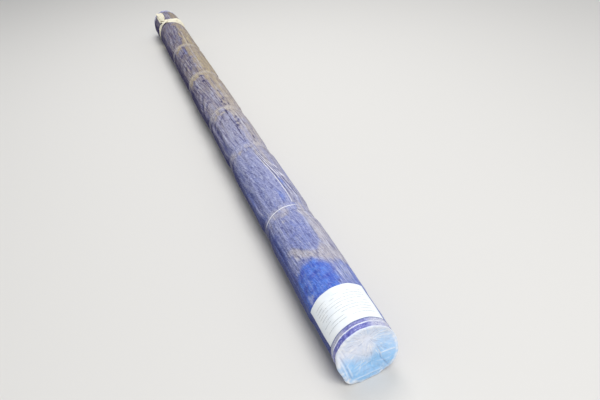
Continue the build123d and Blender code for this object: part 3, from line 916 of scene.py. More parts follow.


# Colour, with painted highlights and painted shade, height and dustiness of the dusty blue sheet
def sheetLook(add, isWrap=True):
    painted = add("attribute", attribute_name="dustAndShadeMap")
    shares = add("ShaderNodeSeparateColor", painted.outputs["Color"]).outputs
    place = add("ShaderNodeUVMap", uv_map="unrolled")
    wander = add("noise", place, 1000 / 45.45).outputs[1]
    shift = add("vector", wander, (0.003, 0.01, 0), place, operation="MULTIPLY_ADD")
    # creases of the thin sheet, longer along the bundle than round it
    creases = add("cells", add("stretch", shift, (1.0, 0.36, 1.0)), 1000 / 11.11)
    strokes = add("noise", add("slant", shift, (0, 0, 0.34), (1, 3.4, 1)), 1000 / 4.348, 3.0, 0.6)
    pleats = add("noise", add("stretch", shift, (1.0, 0.13, 1.0)), 1000 / 10.53)
    mottle = add("noise", add("slant", shift, (0, 0, -0.22), (1, 3.6, 1)), 1000 / 3.03, 3.0, 0.65)
    patches = add("noise", place, 1000 / 33.33, 3.0, 0.6)
    height = add("ADD", add("MULTIPLY", creases, 0.22), add("MULTIPLY", strokes, 0.5))
    height = add("ADD", height, add("MULTIPLY", pleats, 0.45))
    height = add("ADD", height, add("MULTIPLY", mottle, 0.18))
    height = add("MULTIPLY", height, add("ramp", shares[1], 0.3, 1.0, 1.0, 0.55))

    uneven = add("MULTIPLY", add("SUBTRACT", mottle, 0.5), 0.55)
    uneven = add("ADD", uneven, add("MULTIPLY", add("SUBTRACT", patches, 0.5), 0.3))
    violet = add("ADD", shares[0], add("MULTIPLY", uneven, shares[0]), use_clamp=True)
    tan = add("ADD", shares[1], add("MULTIPLY", uneven, shares[1]), use_clamp=True)
    blue = add("mix", add("ramp", patches, 0.3, 0.7), linear("#2A4EBC"), linear("#4C80E4"))
    spot = add("ShaderNodeTexCoord").outputs["Object"]
    far = add("separate", spot).outputs[1]
    # the dust on the blue turns from violet to mauve along the bundle
    mauve = add("ramp", far, bundle["nearY"] + 1.0, bundle["nearY"] + 1.9)
    colour = add("mix", violet, blue, add("mix", mauve, linear("#8E95C4"), linear("#918EAB")))
    # the tan dust is greyer near the labelled end
    greyed = add("ramp", far, bundle["nearY"] + 0.6, bundle["nearY"] + 2.4)
    colour = add("mix", tan, colour, add("mix", greyed, linear("#B9B4BA"), linear("#B2A283")))
    warm = add("MULTIPLY", greyed, add("ramp", tan, 0.35, 0.85))
    # the colour of painted highlights, warmer where tan dust lies
    paleFold = add("mix", warm, linear("#CACFE6"), linear("#CDC2A6"))
    soiled = add("ramp", shares[0], 0.05, 0.5, 0.5, 1.0)
    # painted glints on the crinkles, stronger where violet dust lies
    glint = add("MULTIPLY", add("ramp", strokes, 0.54, 0.66), add("MULTIPLY_ADD", violet, 0.28, 0.16))
    colour = add("mix", glint, colour, paleFold)
    # painted shade in the crinkles' hollows where the sheet is dusty, less of it further along
    hollow = add("MULTIPLY", add("ramp", strokes, 0.47, 0.36), add("MULTIPLY", soiled, 0.38))
    hollow = add("MULTIPLY", hollow, add("MULTIPLY_ADD", mauve, -0.6, 1.0))
    colour = add("mix", hollow, colour, linear("#363A70"))
    # thin folds, each a painted highlight on its crest beside painted shade in its hollow, long ones and
    # between them short slanted ones
    folds = add("noise", add("slant", shift, (0, 0, 0.05), (1, 13.0, 1)), 1000 / 15.15, 1.0, 0.4)
    wrinkles = add("noise", add("slant", shift, (0, 0, 0.28), (1, 6.0, 1)), 1000 / 7.143, 1.0, 0.4)
    inPatches = add("ramp", patches, 0.38, 0.56, 0.25, 1.0)
    mask = add("MULTIPLY", inPatches, add("ramp", shares[0], 0.1, 0.6, 0.4, 1.0))
    crests = add("MULTIPLY", stripe(add, folds, 0.537, 0.034), mask)
    crests = add("MAXIMUM", crests, add("MULTIPLY", stripe(add, wrinkles, 0.535, 0.03), 0.55))
    hollows = add("MULTIPLY", stripe(add, folds, 0.463, 0.04), mask)
    hollows = add("MAXIMUM", hollows, add("MULTIPLY", stripe(add, wrinkles, 0.465, 0.032), 0.6))
    hollows, crests = add("MULTIPLY", hollows, soiled), add("MULTIPLY", crests, soiled)
    colour = add("mix", add("MULTIPLY", hollows, 0.5), colour, linear("#383C76"))
    colour = add("mix", add("MULTIPLY", crests, 0.38), colour, paleFold)
    # folds too fine to model run along the bundle further from the labelled end, painted as highlights and
    # shade
    fine = add("noise", add("slant", shift, (0, 0, 0.05), (1, 26.0, 1)), 1000 / 6.667, 1.0, 0.4)
    distant = add("ramp", far, bundle["nearY"] + 0.7, bundle["nearY"] + 2.2, 0.12, 1.0)
    away = add("MULTIPLY", distant, add("ramp", shares[1], 0.95, 0.55, 0.35, 1.0))
    for low, high, amount, tint in ((0.55, 0.66, 0.45, paleFold), (0.46, 0.36, 0.50, linear("#2C2160"))):
        share = add("MULTIPLY", add("ramp", fine, low, high), away)
        colour = add("mix", add("MULTIPLY", share, amount), colour, tint)
    raised = add("ADD", add("MULTIPLY", folds, 0.8), add("MULTIPLY", add("MULTIPLY", fine, away), 0.6))
    height = add("ADD", height, raised)
    # the map's painted shade, with its dark flecks
    dark = add("MULTIPLY", shares[2], 0.97)
    colour = add("mix", dark, colour, add("mix", greyed, linear("#161C5E"), linear("#261F4C")))
    if isWrap:
        # painted highlights on the flap's edge and fold crests, and scuffs worn pale, from the map
        colour = add("mix", add("MULTIPLY", painted.outputs["Alpha"], 0.9), colour, linear("#E9E9EE"))
        # painted highlights and painted shade of the folds along the flap's edge
        pale, dark = edgeLines(add, place)
        colour = add("mix", add("MULTIPLY", dark, 0.85), colour, linear("#24223A"))
        colour = add("mix", pale, colour, linear("#E6E4EC"))
    dusty = add("MAXIMUM", violet, tan)
    return colour, height, dusty, painted.outputs["Alpha"]


# Polyethylene tapes woven and coated with a film of the same: a soft gloss where it is clean,
# dull where dust lies, with small creases that hold their shape, and painted shade and highlights in its
# colour.
def sheetMaterial():
    material, add, shader = newMaterial("woven polyethylene sheet")
    colour, height, dusty = sheetLook(add)[:3]
    setInputs(shader, {
        "Base Color": colour, "Roughness": add("ramp", dusty, 0.0, 0.9, 0.42, 0.75),
        "Specular IOR Level": 0.10, "Normal": add("bump", height, 0.0070, 0.9),
    })
    return material


# Clear cast polypropylene tape with acrylic glue: the dusty sheet shows through it a little paler,
# with a tighter gloss than the sheet's, and a painted white highlight where its raised crest catches the
# light.
def tapeMaterial():
    material, add, shader = newMaterial("clear packing tape")
    colour, height, dusty, alpha = sheetLook(add, isWrap=False)
    crest = add("attribute", attribute_name="crest").outputs["Fac"]
    colour = add("mix", 0.04, colour, linear("#B4ADAF"))
    # a painted highlight along the crest, as strong as the band's share for it
    line = add("MULTIPLY", add("ramp", crest, 0.3, 0.8), alpha)
    colour = add("mix", line, colour, linear("#F2F4F8"))
    setInputs(shader, {
        "Base Color": colour, "Roughness": 0.42, "Specular IOR Level": 0.20,
        "Normal": add("bump", height, 0.0050, 0.8),
    })
    return material


wrapSheet = sheetMaterial()
blueWrap.data.materials.append(wrapSheet)
packingTape = tapeMaterial()

# a crest's whiteness is a painted highlight
bandLooks = {  # crest's height and whiteness, and the tan dust on the band
    "tape_band_1": (0.0013, 1.00, 0.0), "tape_band_2": (0.0005, 0.12, 0.2),
    "tape_band_3": (0.0009, 0.30, 0.3), "tape_band_4": (0.0006, 0.26, 0.75),
    "tape_band_5": (0.0006, 0.22, 0.6),
}


def makeBands():
    for number, (node, along) in enumerate(zip(tapeNodes, tapePlaces), start=1):
        crest, crestHighlight, dusty = bandLooks[node]
        band = woundStrip(
            f"tapeBand{number}", packingTape, 60 + 37 * number, 398, along, bundle["tapeWidth"] - 0.006,
            bead=crest, beadPlace=0.004, seed=number * 5.3, wander=0.014,
        )
        angle, place, radius = toTurns(band.data)
        violet, tan, shade = dustAndShadeMap(angle, place)
        onTop = smooth(angle + 6 * np.sin(place * 90), -75, -50) * (1 - smooth(angle, 40, 80))
        tan = np.maximum(tan, dusty * onTop)
        # a painted highlight on the crest, from the band's left side over its top
        seen = crestHighlight * smooth(angle, -84, -66) * (1 - smooth(angle, 4, 24)) + 0.06
        paint(band.data, "dustAndShadeMap", violet, tan, shade, seen)
        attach(band, "root")
        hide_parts(node)


makeBands()
print("tape bands made")


# Uncoated white paper: matt and bright, very slightly clouded, with grey rows of print that can't be read.
def labelMaterial():
    material, add, shader = newMaterial("label paper")
    place = add("ShaderNodeUVMap", uv_map="unrolled")
    across, along = add("separate", place).outputs[:2]
    # broken rows that run round the bundle, 12 mm apart, with margins
    rows = add("DIVIDE", add("ADD", along, 0.055), 0.012)
    nearRow = add("ABSOLUTE", add("SUBTRACT", add("FRACT", rows), 0.5))
    line = add("ramp", nearRow, 0.13, 0.06)
    inRows = add("MULTIPLY", add("ramp", along, -0.056, -0.05), add("ramp", along, 0.052, 0.046))
    between = add("MULTIPLY", add("ramp", across, 0.018, 0.022), add("ramp", across, 0.19, 0.186))
    # each row is broken into bars of about 7 mm, and ends at a place of its own
    rowNumber = add("MULTIPLY", add("FLOOR", rows), 3.7)
    bars = add("combine", add("MULTIPLY", across, 150.0), rowNumber)
    broken = add("ramp", add("noise", bars, 1.0, 3.0, 0.75), 0.34, 0.5)
    lengths = add("combine", add("MULTIPLY", across, 22.0), rowNumber)
    reach = add("ramp", add("noise", lengths, 1.0, 1.0), 0.38, 0.46)
    ink = add("MULTIPLY", add("MULTIPLY", line, inRows), add("MULTIPLY", broken, reach))
    ink = add("MULTIPLY", add("MULTIPLY", ink, between), 0.58)
    cloud = add("noise", place, 1000 / 40, 3.0)
    paper = add("mix", add("ramp", cloud, 0.35, 0.7), linear("#F4F8FA"), linear("#EBF1F6"))
    colour = add("mix", ink, paper, linear("#8E9796"))
    fibres = add("noise", place, 1000 / 25, 3.0)
    setInputs(shader, {"Base Color": colour, "Roughness": 0.6, "Normal": add("bump", fibres, 0.002, 0.35)})
    return material


labelSheet = {"start": -78.5, "width": 0.210, "length": 0.148}
labelSheet["along"] = alongOf((labelLow[1] + labelHigh[1]) / 2)
label = woundStrip(
    "paperLabel", labelMaterial(), labelSheet["start"],
    math.degrees(labelSheet["width"] / bundle["unrollRadius"]), labelSheet["along"], labelSheet["length"],
    stepsRound=110, stepsAcross=60, lift=0.0006, rise=0.0, thickness=0.0003, wander=0.0008, easing=25,
)
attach(label, "root")
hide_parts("label")
print("label made")

# End films


film = {
    "columns": 216, "lapRows": 30, "faceRows": 46, "thickness": 0.0005, "rim": 0.0040,
    "nearOverFloor": 0.0006, "farOverFloor": 0.0002, "straightCreases": 40, "spokes": 30,
    "gather": (0.001, 0.060),  # where the fine folds of the face meet, from the axis
    # creases of the labelled end's face: points across and up from the axis in millimetres, rise, painted
    # highlight, painted shade
    "creases": [
        ([(-6, 31), (23, 26), (31, 8), (33, -4)], -0.0005, 0.3, 0.15),
        ([(33, -4), (59, -5), (88, -7)], 0.0010, 0.9, 0), ([(-2, 33), (23, 27)], 0.0006, 0.7, 0),
        ([(24, 32), (34, 1), (35, -22), (50, -47), (66, -72)], -0.0010, 0, 0.55),
        ([(-85, 23), (-71, -15), (-57, -66)], -0.0011, 0, 0.5),
        ([(-89, 20), (-78, -14), (-66, -60)], 0.0009, 0.7, 0), ([(-66, -14), (-54, -58)], 0.0007, 0.6, 0),
        ([(-58, -69), (-33, -66), (5, -67), (43, -70)], 0.0012, 0.6, 0),
        ([(-52, -30), (-31, -21), (-7, -13)], 0.0006, 0.45, 0),
        ([(-45, -38), (-20, -30), (8, -20)], 0.0005, 0.35, 0.0), ([(-85, 49), (-69, 7)], 0.0007, 0.7, 0),
        ([(-80, 44), (-66, 10)], -0.0006, 0, 0.35), ([(-77, 52), (-62, 22)], 0.0006, 0.6, 0),
        ([(5, 55), (42, 62), (70, 58)], 0.0007, 0.8, 0), ([(8, 50), (45, 52), (80, 40)], 0.0005, 0.6, 0),
        ([(-20, 72), (-14, 40), (-18, 5)], 0.0004, 0.35, 0),
        ([(20, -30), (44, -36), (70, -30)], 0.0005, 0.35, 0),
        ([(-30, -50), (0, -52), (30, -56)], -0.0005, 0, 0.2),
    ],
    # the sheet behind the face shows blue below this line: across and up in millimetres
    "blueBelow": [
        (-95, -10), (-75, 0), (-53, 2), (-28, -4), (0, -6), (12, 12), (28, 26), (61, 18), (92, 4),
    ],
    # how far the bag of the labelled end stands out at its rim: angle, depth
    "bag": [
        (-180, 0.023), (-160, 0.0262), (-145, 0.0262), (-125, 0.0235), (-108, 0.018), (-88, 0.007),
        (-70, 0.0015), (-50, 0), (50, 0), (70, 0.002), (88, 0.010), (106, 0.018), (122, 0.0205),
        (150, 0.0185), (180, 0.023),
    ],
    "bagMiddle": 0.016,
    # how much further out its rim reaches: angle, distance
    "corners": [
        (-180, 0.0), (-155, 0.004), (-144, 0.013), (-134, 0.012), (-122, 0.004), (-105, 0.003),
        (-90, 0.003), (-60, 0.0015), (0, 0), (60, 0.0015), (85, 0.003), (110, 0.0025), (128, 0.004),
        (145, 0.001), (180, 0.0),
    ],
}


# Clear polyethylene stretch film, pulled tight over blue sheet: glossy, milky white where it is doubled or
# crumpled, with a painted reflection of the sky on its upper part, painted highlights and shade on its folds,
# and blue where it lies close on the sheet.
def filmMaterial():
    material, add, shader = newMaterial("clear stretch film")
    filmMap = add("attribute", attribute_name="filmMap").outputs
    shares = add("ShaderNodeSeparateColor", filmMap["Color"]).outputs
    lines = add("attribute", attribute_name="filmLines").outputs
    marks = add("ShaderNodeSeparateColor", lines["Color"]).outputs
    place = add("ShaderNodeTexCoord").outputs["Object"]
    wander = add("noise", place, 1000 / 55.56).outputs[1]
    shift = add("vector", wander, (0.03, 0.0, 0.03), place, operation="MULTIPLY_ADD")
    creases = add("cells", shift, 1000 / 16.67)
    wiry = add("noise", shift, 1000 / 21.74, 4.0, 0.6, noise_type="RIDGED_MULTIFRACTAL", normalize=False)
    cloud = add("noise", shift, 1000 / 38.46, 4.0, 0.65)

    # fine folds that spread from where the film is gathered, painted with white highlights and grey shade
    spot = add("separate", place).outputs
    across = add("SUBTRACT", spot[0], film["gather"][0])
    above = add("SUBTRACT", spot[2], bundle["axisZ"] + film["gather"][1])
    turn = add("ARCTAN2", across, above)
    far = add("SQRT", add("ADD", add("MULTIPLY", across, across), add("MULTIPLY", above, above)))
    rays = add("combine", add("MULTIPLY", turn, 9.0), add("MULTIPLY", far, 22.0))
    ray = add("noise", rays, 1.0, 4.0, 0.65)
    nearGather = add("MULTIPLY", add("ramp", far, 0.004, 0.014), add("ramp", far, 0.105, 0.03, 0.25, 1.0))

    # milky white from the map, with its painted reflection of the sky, and the blue sheet below
    white = add("ADD", shares[0], add("MULTIPLY", add("SUBTRACT", cloud, 0.5), 0.9), use_clamp=True)
    colour = add("mix", white, linear("#9AD0FF"), linear("#EAEEFB"))
    streaks = add("MULTIPLY", add("ramp", ray, 0.54, 0.64), nearGather)
    colour = add("mix", streaks, colour, linear("#FCFDFF"))
    grey = add("MULTIPLY", add("ramp", ray, 0.44, 0.34), nearGather)
    colour = add("mix", add("MULTIPLY", grey, 0.65), colour, linear("#A3ADCE"))
    # painted glints on the crumples
    colour = add("mix", add("MULTIPLY", add("ramp", wiry, 1.15, 1.8), 0.6), colour, linear("#F4F8FF"))
    glints = add("noise", add("stretch", place, (1.0, 1.6, 1.0)), 1000 / 7.692, 4.0, 0.7)
    # the blue sheet under the lap, with painted glints
    lap = add("mix", add("ramp", glints, 0.42, 0.62), linear("#4B4FA6"), linear("#7F84CB"))
    lap = add("mix", add("MULTIPLY", add("ramp", glints, 0.62, 0.7), 0.7), lap, linear("#DADFF4"))
    colour = add("mix", shares[1], colour, lap)
    lilac = add("mix", add("ramp", glints, 0.42, 0.6), linear("#6263A6"), linear("#8F93CE"))
    unrolled = add("ShaderNodeUVMap", uv_map="unrolled")
    # on the left of the lap the crumpled film is painted silver, with painted highlights and dark painted
    # shade
    crinkle = add("noise", add("stretch", unrolled, (1.0, 1.9, 1.0)), 1000 / 2.381, 4.0, 0.7)
    silver = add("mix", add("ramp", crinkle, 0.38, 0.5), linear("#5C5A80"), linear("#A9ABC4"))
    silver = add("mix", add("ramp", crinkle, 0.52, 0.62), silver, linear("#EFF1F7"))
    colour = add("mix", shares[2], colour, add("mix", marks[2], lilac, silver))
    # crumpled film on the right of the lap, milky pale, with painted glints
    crumpled = add("MULTIPLY", add("ramp", glints, 0.34, 0.56, 0.35, 1.0), filmMap["Alpha"])
    colour = add("mix", add("MULTIPLY", crumpled, 0.8), colour, linear("#D3D5E2"))
    # painted shade and painted highlights of the creases, the rim and the label's edge
    colour = add("mix", marks[1], colour, linear("#5F6FA6"))
    colour = add("mix", marks[0], colour, linear("#FBFCFF"))
    height = add("ADD", add("MULTIPLY", creases, 0.5), add("MULTIPLY", wiry, 0.25))
    height = add("ADD", height, add("MULTIPLY", add("MULTIPLY", ray, nearGather), 0.7))
    setInputs(shader, {"Base Color": colour, "Roughness": 0.24, "Normal": add("bump", height, 0.0045, 0.8)})
    return material


stretchFilm = filmMaterial()


# 1 on a line of points, and down to 0 past its width and toward its ends
def lineShare(x, z, points, width):
    points = np.array(points, float) / 1000
    share = np.zeros_like(x)
    for number, (a, b) in enumerate(zip(points[:-1], points[1:])):
        length = np.linalg.norm(b - a)
        way = (b - a) / length
        t = np.clip((x - a[0]) * way[0] + (z - a[1]) * way[1], 0, length)
        far = np.hypot(x - a[0] - t * way[0], z - a[1] - t * way[1])
        here = bell(far, 0, width)
        if number == 0:
            here *= smooth(t, -0.002, 0.010)
        if number == len(points) - 2:
            here *= 1 - smooth(t, length - 0.010, length + 0.002)
        share = np.maximum(share, here)
    return share


# Where a film is white, blue, lilac, silver or crumpled, and its painted highlights and painted shade
def paintFilm(piece, atFarEnd, seed):
    angle, along, radius = toTurns(piece.data)
    if atFarEnd:
        along = bundle["length"] - along
    x, z = radius * np.sin(np.radians(angle)), radius * np.cos(np.radians(angle))
    x *= -1 if atFarEnd else 1
    # milky, with a painted reflection of the sky, above the line below which the blue sheet shows
    border = curve(x * 1000, film["blueBelow"]) / 1000
    white = 0.10 + smooth(z - border, -0.034, 0.030) * (0.80 - 0.36 * smooth(x, 0.0, 0.05))
    white += 0.12 * smooth(-x, 0.055, 0.085) * smooth(-z, -0.02, 0.03)
    # painted highlights on the crumpled rim, painted highlights and shade on the creases, and one corner
    # painted bright
    onFace = 1 - smooth(along, -0.001, 0.004)
    ragged = softNoise(angle / 360, 0 * angle, 70, 0.05, seed + 5)
    rimShare = smooth(radius, 0.0862 - 0.005 * ragged, 0.0890) * onFace
    pale, dark = 0.75 * rimShare * (0.1 + ragged), np.zeros_like(x)
    for points, rise, paleShare, darkShare in film["creases"]:
        share = lineShare(x, z, points, 0.0019) * onFace
        pale, dark = np.maximum(pale, 0.8 * paleShare * share), np.maximum(dark, 0.65 * darkShare * share)
    pale = np.maximum(pale, smooth(radius, 0.096, 0.100) * bell(angle, -137, 12))
    # bands of blue and lilac on the lap, crumpled on the right and silver on the left, a painted highlight
    # between the bands and a painted shadow beside the label
    onLap = smooth(radius, 0.0885, 0.0905) * smooth(along, 0.0005, 0.0040)
    blueLap = onLap * smooth(along, 0.0030, 0.0048) * (1 - smooth(along, 0.0205, 0.0217))
    lilacLap = onLap * smooth(along, 0.0240, 0.0252)
    # where no band covers the lap it is white: a painted highlight on the bead between the bands, and at the
    # rim
    white = np.maximum(white, onLap)
    crumpled = smooth(angle, 2, 22) * (1 - smooth(angle, 46, 66)) * smooth(along, -0.004, 0.004)
    silver = (1 - smooth(angle, -46, -30)) * smooth(angle, -100, -85)
    # a painted shadow beside the label's edge
    dark = np.maximum(dark, 0.7 * onLap * smooth(along, 0.0350, 0.0362))
    paint(piece.data, "filmMap", np.clip(white, 0, 1), blueLap, lilacLap, crumpled)
    paint(piece.data, "filmLines", np.clip(pale, 0, 1), dark, silver)


# A cup of crumpled film over one end
def makeFilm(name, node, atFarEnd, seed):
    draw = np.random.default_rng(seed)
    columns = film["columns"]
    turns = np.linspace(0, 360, columns, endpoint=False)
    lap, rim = bundle["filmLap"], film["rim"]
    lapPlaces = lap + (rim - lap) * np.linspace(0, 1, film["lapRows"])
    edge = surface(*np.meshgrid(turns, [0.03]))[0][0] + 0.0007
    rows = []
    wave = 0.0022 * (softNoise(turns / 360, 0 * turns, 26, 0.05, seed + 1) - 0.5)
    for index, place in enumerate(lapPlaces):
        share = index / (film["lapRows"] - 1)
        bead = 0.0011 * bell(place, 0.0228, 0.0016) + 0.0008 * bell(place, lap, 0.0016)
        rows.append((edge + bead, place + wave * (1 - share), np.full(columns, share)))
    for t in np.linspace(0.2, 1, 4):
        inward, back = rim * (1 - math.cos(t * math.pi / 2)), rim * (1 - math.sin(t * math.pi / 2))
        rows.append((edge - inward, np.full(columns, back), np.full(columns, 1 + t)))
    for t in np.linspace(0, 1, film["faceRows"])[1:]:
        rows.append(((edge - rim) * (1 - t), np.zeros(columns), np.full(columns, 2 + t)))
    radius, place, stage = [np.stack(part) for part in zip(*rows)]
    angle = np.broadcast_to(turns, radius.shape)

    # creases in the face: straight lines in it, and spokes from where the film is gathered
    x, z = radius * np.sin(np.radians(angle)), radius * np.cos(np.radians(angle))
    face = smooth(stage, 1.7, 2.12)
    relief = np.zeros_like(radius)
    for count in range(film["straightCreases"]):
        a, off = draw.uniform(0, math.pi), draw.normal(0, 0.045)
        width, rise = draw.uniform(0.0016, 0.004), draw.normal(0, 0.0004)
        run, far = x * math.cos(a) + z * math.sin(a), -x * math.sin(a) + z * math.cos(a) - off
        middle, half = draw.normal(0, 0.05), draw.uniform(0.02, 0.07)
        relief += rise * bell(far, 0, width) * np.exp(-((run - middle) / half) ** 4)
    gatherX, gatherZ = film["gather"]
    spokes = np.degrees(np.arctan2(x - gatherX, z - gatherZ))
    fromGather = np.hypot(x - gatherX, z - gatherZ)
    for count in range(film["spokes"]):
        a = draw.uniform(0, 360)
        gap = np.radians(signedAngle(spokes - a)) * np.maximum(fromGather, 0.012)
        reach = draw.uniform(0.03, 0.09)
        spoke = bell(gap, 0, draw.uniform(0.0010, 0.0024)) * smooth(fromGather, 0.002, 0.012)
        relief += draw.normal(0, 0.0004) * spoke * (1 - smooth(fromGather, reach * 0.6, reach))
    mirrored = -1 if atFarEnd else 1
    for points, rise, pale, dark in film["creases"]:
        relief += rise * lineShare(mirrored * x, z, points, 0.0024)
    broad = softNoise(angle / 360, radius, 7, 0.03, seed + 3) - 0.5
    relief += 0.0026 * broad * smooth(radius, 0.01, 0.04) + 0.0012 * (1 - (radius / 0.09) ** 2)
    relief = np.clip(relief, -0.0014, 0.0045)
    place = place - relief * face
    if not atFarEnd:
        # sheet packed behind the film pushes it out, most at the bottom
        around = signedAngle(angle)
        bag = curve(around, film["bag"])
        inFace = np.clip((stage - 2) * 1.15, 0, 1)
        depth = bag * (1 - smooth(inFace, 0, 1)) + film["bagMiddle"] * smooth(inFace, 0, 1)
        place = place - depth * (1 - smooth(place, -0.001, 0.020))
        corner = curve(around, film["corners"]) * (1 - smooth(inFace, 0, 0.5))
        radius = radius + corner * (1 - smooth(place, -0.012, 0.016))
        besideFloor = 0.4 * (1 - smooth(-np.cos(np.radians(angle)), 0.3, 0.35))
        radius = np.minimum(radius, overFloor(angle, film["nearOverFloor"]) + besideFloor)
    pucker = 0.0009 * (ridges(angle / 360, place, 48, 0.02, seed + 4) ** 2 - 0.3)
    pucker = pucker * (1 - smooth(stage, 1.4, 2.0))
    radius = radius + pucker * smooth(stage, 0.05, 0.5)
    if atFarEnd:
        radius = np.minimum(radius, overFloor(angle, film["farOverFloor"]))

    # the inside, a film's thickness in
    inner = np.maximum(radius - film["thickness"] * (1 - 0.9 * face), 0)
    innerPlace = place + film["thickness"] * smooth(stage, 0.6, 2.0)
    shape = [np.concatenate([outer, back[::-1]]) for outer, back in ((radius, inner), (place, innerPlace))]
    bothAngles = np.concatenate([angle, angle[::-1]])
    depth = bundle["length"] - shape[1] if atFarEnd else shape[1]
    points = toPoints(bothAngles, depth, shape[0])
    uv = np.stack([np.radians(bothAngles) * bundle["unrollRadius"], shape[1]], -1)
    piece = closedGrid(name, points, uv)
    mesh = together([piece])
    # the rows meet in one point in the middle of the face, outside and inside
    bmesh.ops.remove_doubles(mesh, verts=mesh.verts, dist=1e-6)
    bmesh.ops.delete(mesh, geom=[edge for edge in mesh.edges if edge.is_wire], context="EDGES")
    mesh.to_mesh(piece.data)
    mesh.free()
    paintFilm(piece, atFarEnd, seed)
    piece.data.materials.append(stretchFilm)
    faceOutward(piece)
    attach(piece, "root")
    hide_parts(node)


makeFilm("nearEndFilm", "near_end_film", False, 7)
makeFilm("farEndFilm", "far_end_film", True, 12)
print("end films made")

# Sling


# Polyester yarn woven flat: matt, cream white, a little dirty, with a fine slanting weave.
def webbingMaterial():
    material, add, shader = newMaterial("woven polyester webbing")
    place = add("ShaderNodeUVMap", uv_map="unrolled")
    # the weave is drawn at 4.2 mm, coarser than the real 1 mm, so that it shows
    scale = 1000 * 2 * math.pi / (10 * math.sqrt(2) * 4.23)
    weave = add(
        "ShaderNodeTexWave", {"Vector": place, "Scale": scale, "Distortion": 0.5},
        wave_type="BANDS", bands_direction="DIAGONAL",
    ).outputs["Fac"]
    dirtAndShade = add("noise", place, 1000 / 33.33, 3.0, 0.6)
    colour = add("mix", add("ramp", dirtAndShade, 0.45, 0.75), linear("#F6F0DA"), linear("#DDD2B2"))
    colour = add("mix", add("MULTIPLY", weave, 0.14), colour, linear("#C4B995"))
    setInputs(shader, {"Base Color": colour, "Roughness": 0.8, "Normal": add("bump", weave, 0.0008, 0.6)})
    return material


webbing = webbingMaterial()


# Points on a smooth line through the controls, about this far apart, with tilt and width
def alongPath(controls, step):
    controls = np.array(controls, float)
    ends = [2 * controls[0] - controls[1], 2 * controls[-1] - controls[-2]]
    padded = np.concatenate([ends[:1], controls, ends[1:]])
    fine = []
    for a, b, c, d in zip(padded[:-3], padded[1:-2], padded[2:-1], padded[3:]):
        for t in np.linspace(0, 1, 24, endpoint=False):
            even, bend = (c - a) * t, (2 * a - 5 * b + 4 * c - d) * t**2
            fine.append(0.5 * (2 * b + even + bend + (3 * b - a - 3 * c + d) * t**3))
    fine = np.array(fine + [controls[-1]])
    run = np.concatenate([[0], np.cumsum(np.linalg.norm(np.diff(fine[:, :3], axis=0), axis=1))])
    marks = np.linspace(0, run[-1], max(4, int(run[-1] / step)))
    return np.stack([np.interp(marks, run, column) for column in fine.T], 1), marks


# How far out the wrap and the loop on it stand at these angles and places
def groundReach(ground, angles, places):
    spots = []
    for angle, place in zip(angles, places):
        out = Vector((math.sin(angle), 0, math.cos(angle)))
        start = Vector((0, bundle["nearY"] + place, bundle["axisZ"])) + out * bundle["outside"]
        spot = ground.ray_cast(start, -out)[0]
        spots.append(math.hypot(spot[0], spot[2] - bundle["axisZ"]))
    return np.array(spots)


# A strand's points, its directions outward, sideways and away from the wrap, and its half widths
def strandFrames(ground, controls, step=2.0):
    spots, run = alongPath(controls, step)
    wayRound, along, height, twist, width = spots.T
    angle = np.radians(sling["chokeAngle"]) + wayRound / 1000 / bundle["roundRadius"]
    reach = groundReach(ground, angle, sling["place"] + along / 1000)
    kernel = np.hanning(15)
    reach = np.convolve(np.pad(reach, 7, mode="edge"), kernel / kernel.sum(), mode="valid")
    away = np.stack([np.sin(angle), 0 * angle, np.cos(angle)], 1)
    points = away * (reach + height / 1000)[:, None]
    points[:, 1] = bundle["nearY"] + sling["place"] + along / 1000
    points[:, 2] += bundle["axisZ"]
    forward = np.gradient(points, axis=0)
    forward /= np.linalg.norm(forward, axis=1)[:, None]
    sideways = np.zeros_like(points)
    side = np.cross(forward[0], away[0])
    for index, way in enumerate(forward):
        side = side - side.dot(way) * way
        side /= np.linalg.norm(side)
        sideways[index] = side
    # where it lies on something, the strand is flat to the wrap, and between such places it twists evenly
    lying = np.flatnonzero((height < 6) & (np.abs(twist) < 1))
    flatSide = np.cross(forward, away)
    flatSide /= np.linalg.norm(flatSide, axis=1)[:, None]
    turned = np.cross(forward, sideways)
    off = np.arctan2((turned * flatSide).sum(1), (sideways * flatSide).sum(1))
    off = np.interp(np.arange(len(run)), lying, np.unwrap(off[lying], period=math.pi))[:, None]
    sideways = np.cos(off) * sideways + np.sin(off) * turned
    out = np.cross(sideways, forward)
    lean = np.radians(twist)[:, None]
    sideways, out = np.cos(lean) * sideways - np.sin(lean) * out, np.cos(lean) * out + np.sin(lean) * sideways
    # where it lies on the wrap, the strand bends over it
    flat = np.clip(1 - (height - 3) / 7, 0, 1) * np.cos(lean[:, 0])
    return points, out, sideways, away, width / 2000, flat, run / 1000


# The line along a strand at shares of its half width and half thickness
def onStrand(frames, across, through):
    points, out, sideways, away, half, flat, run = frames
    # only a strand that runs along the bundle bends across its width
    droop = flat * (half * across) ** 2 / 2 / bundle["roundRadius"] * (1 - sideways[:, 1] ** 2)
    line = points + sideways * (half * across)[:, None] - away * droop[:, None]
    return line + out * (sling["thickness"] / 2 * through)


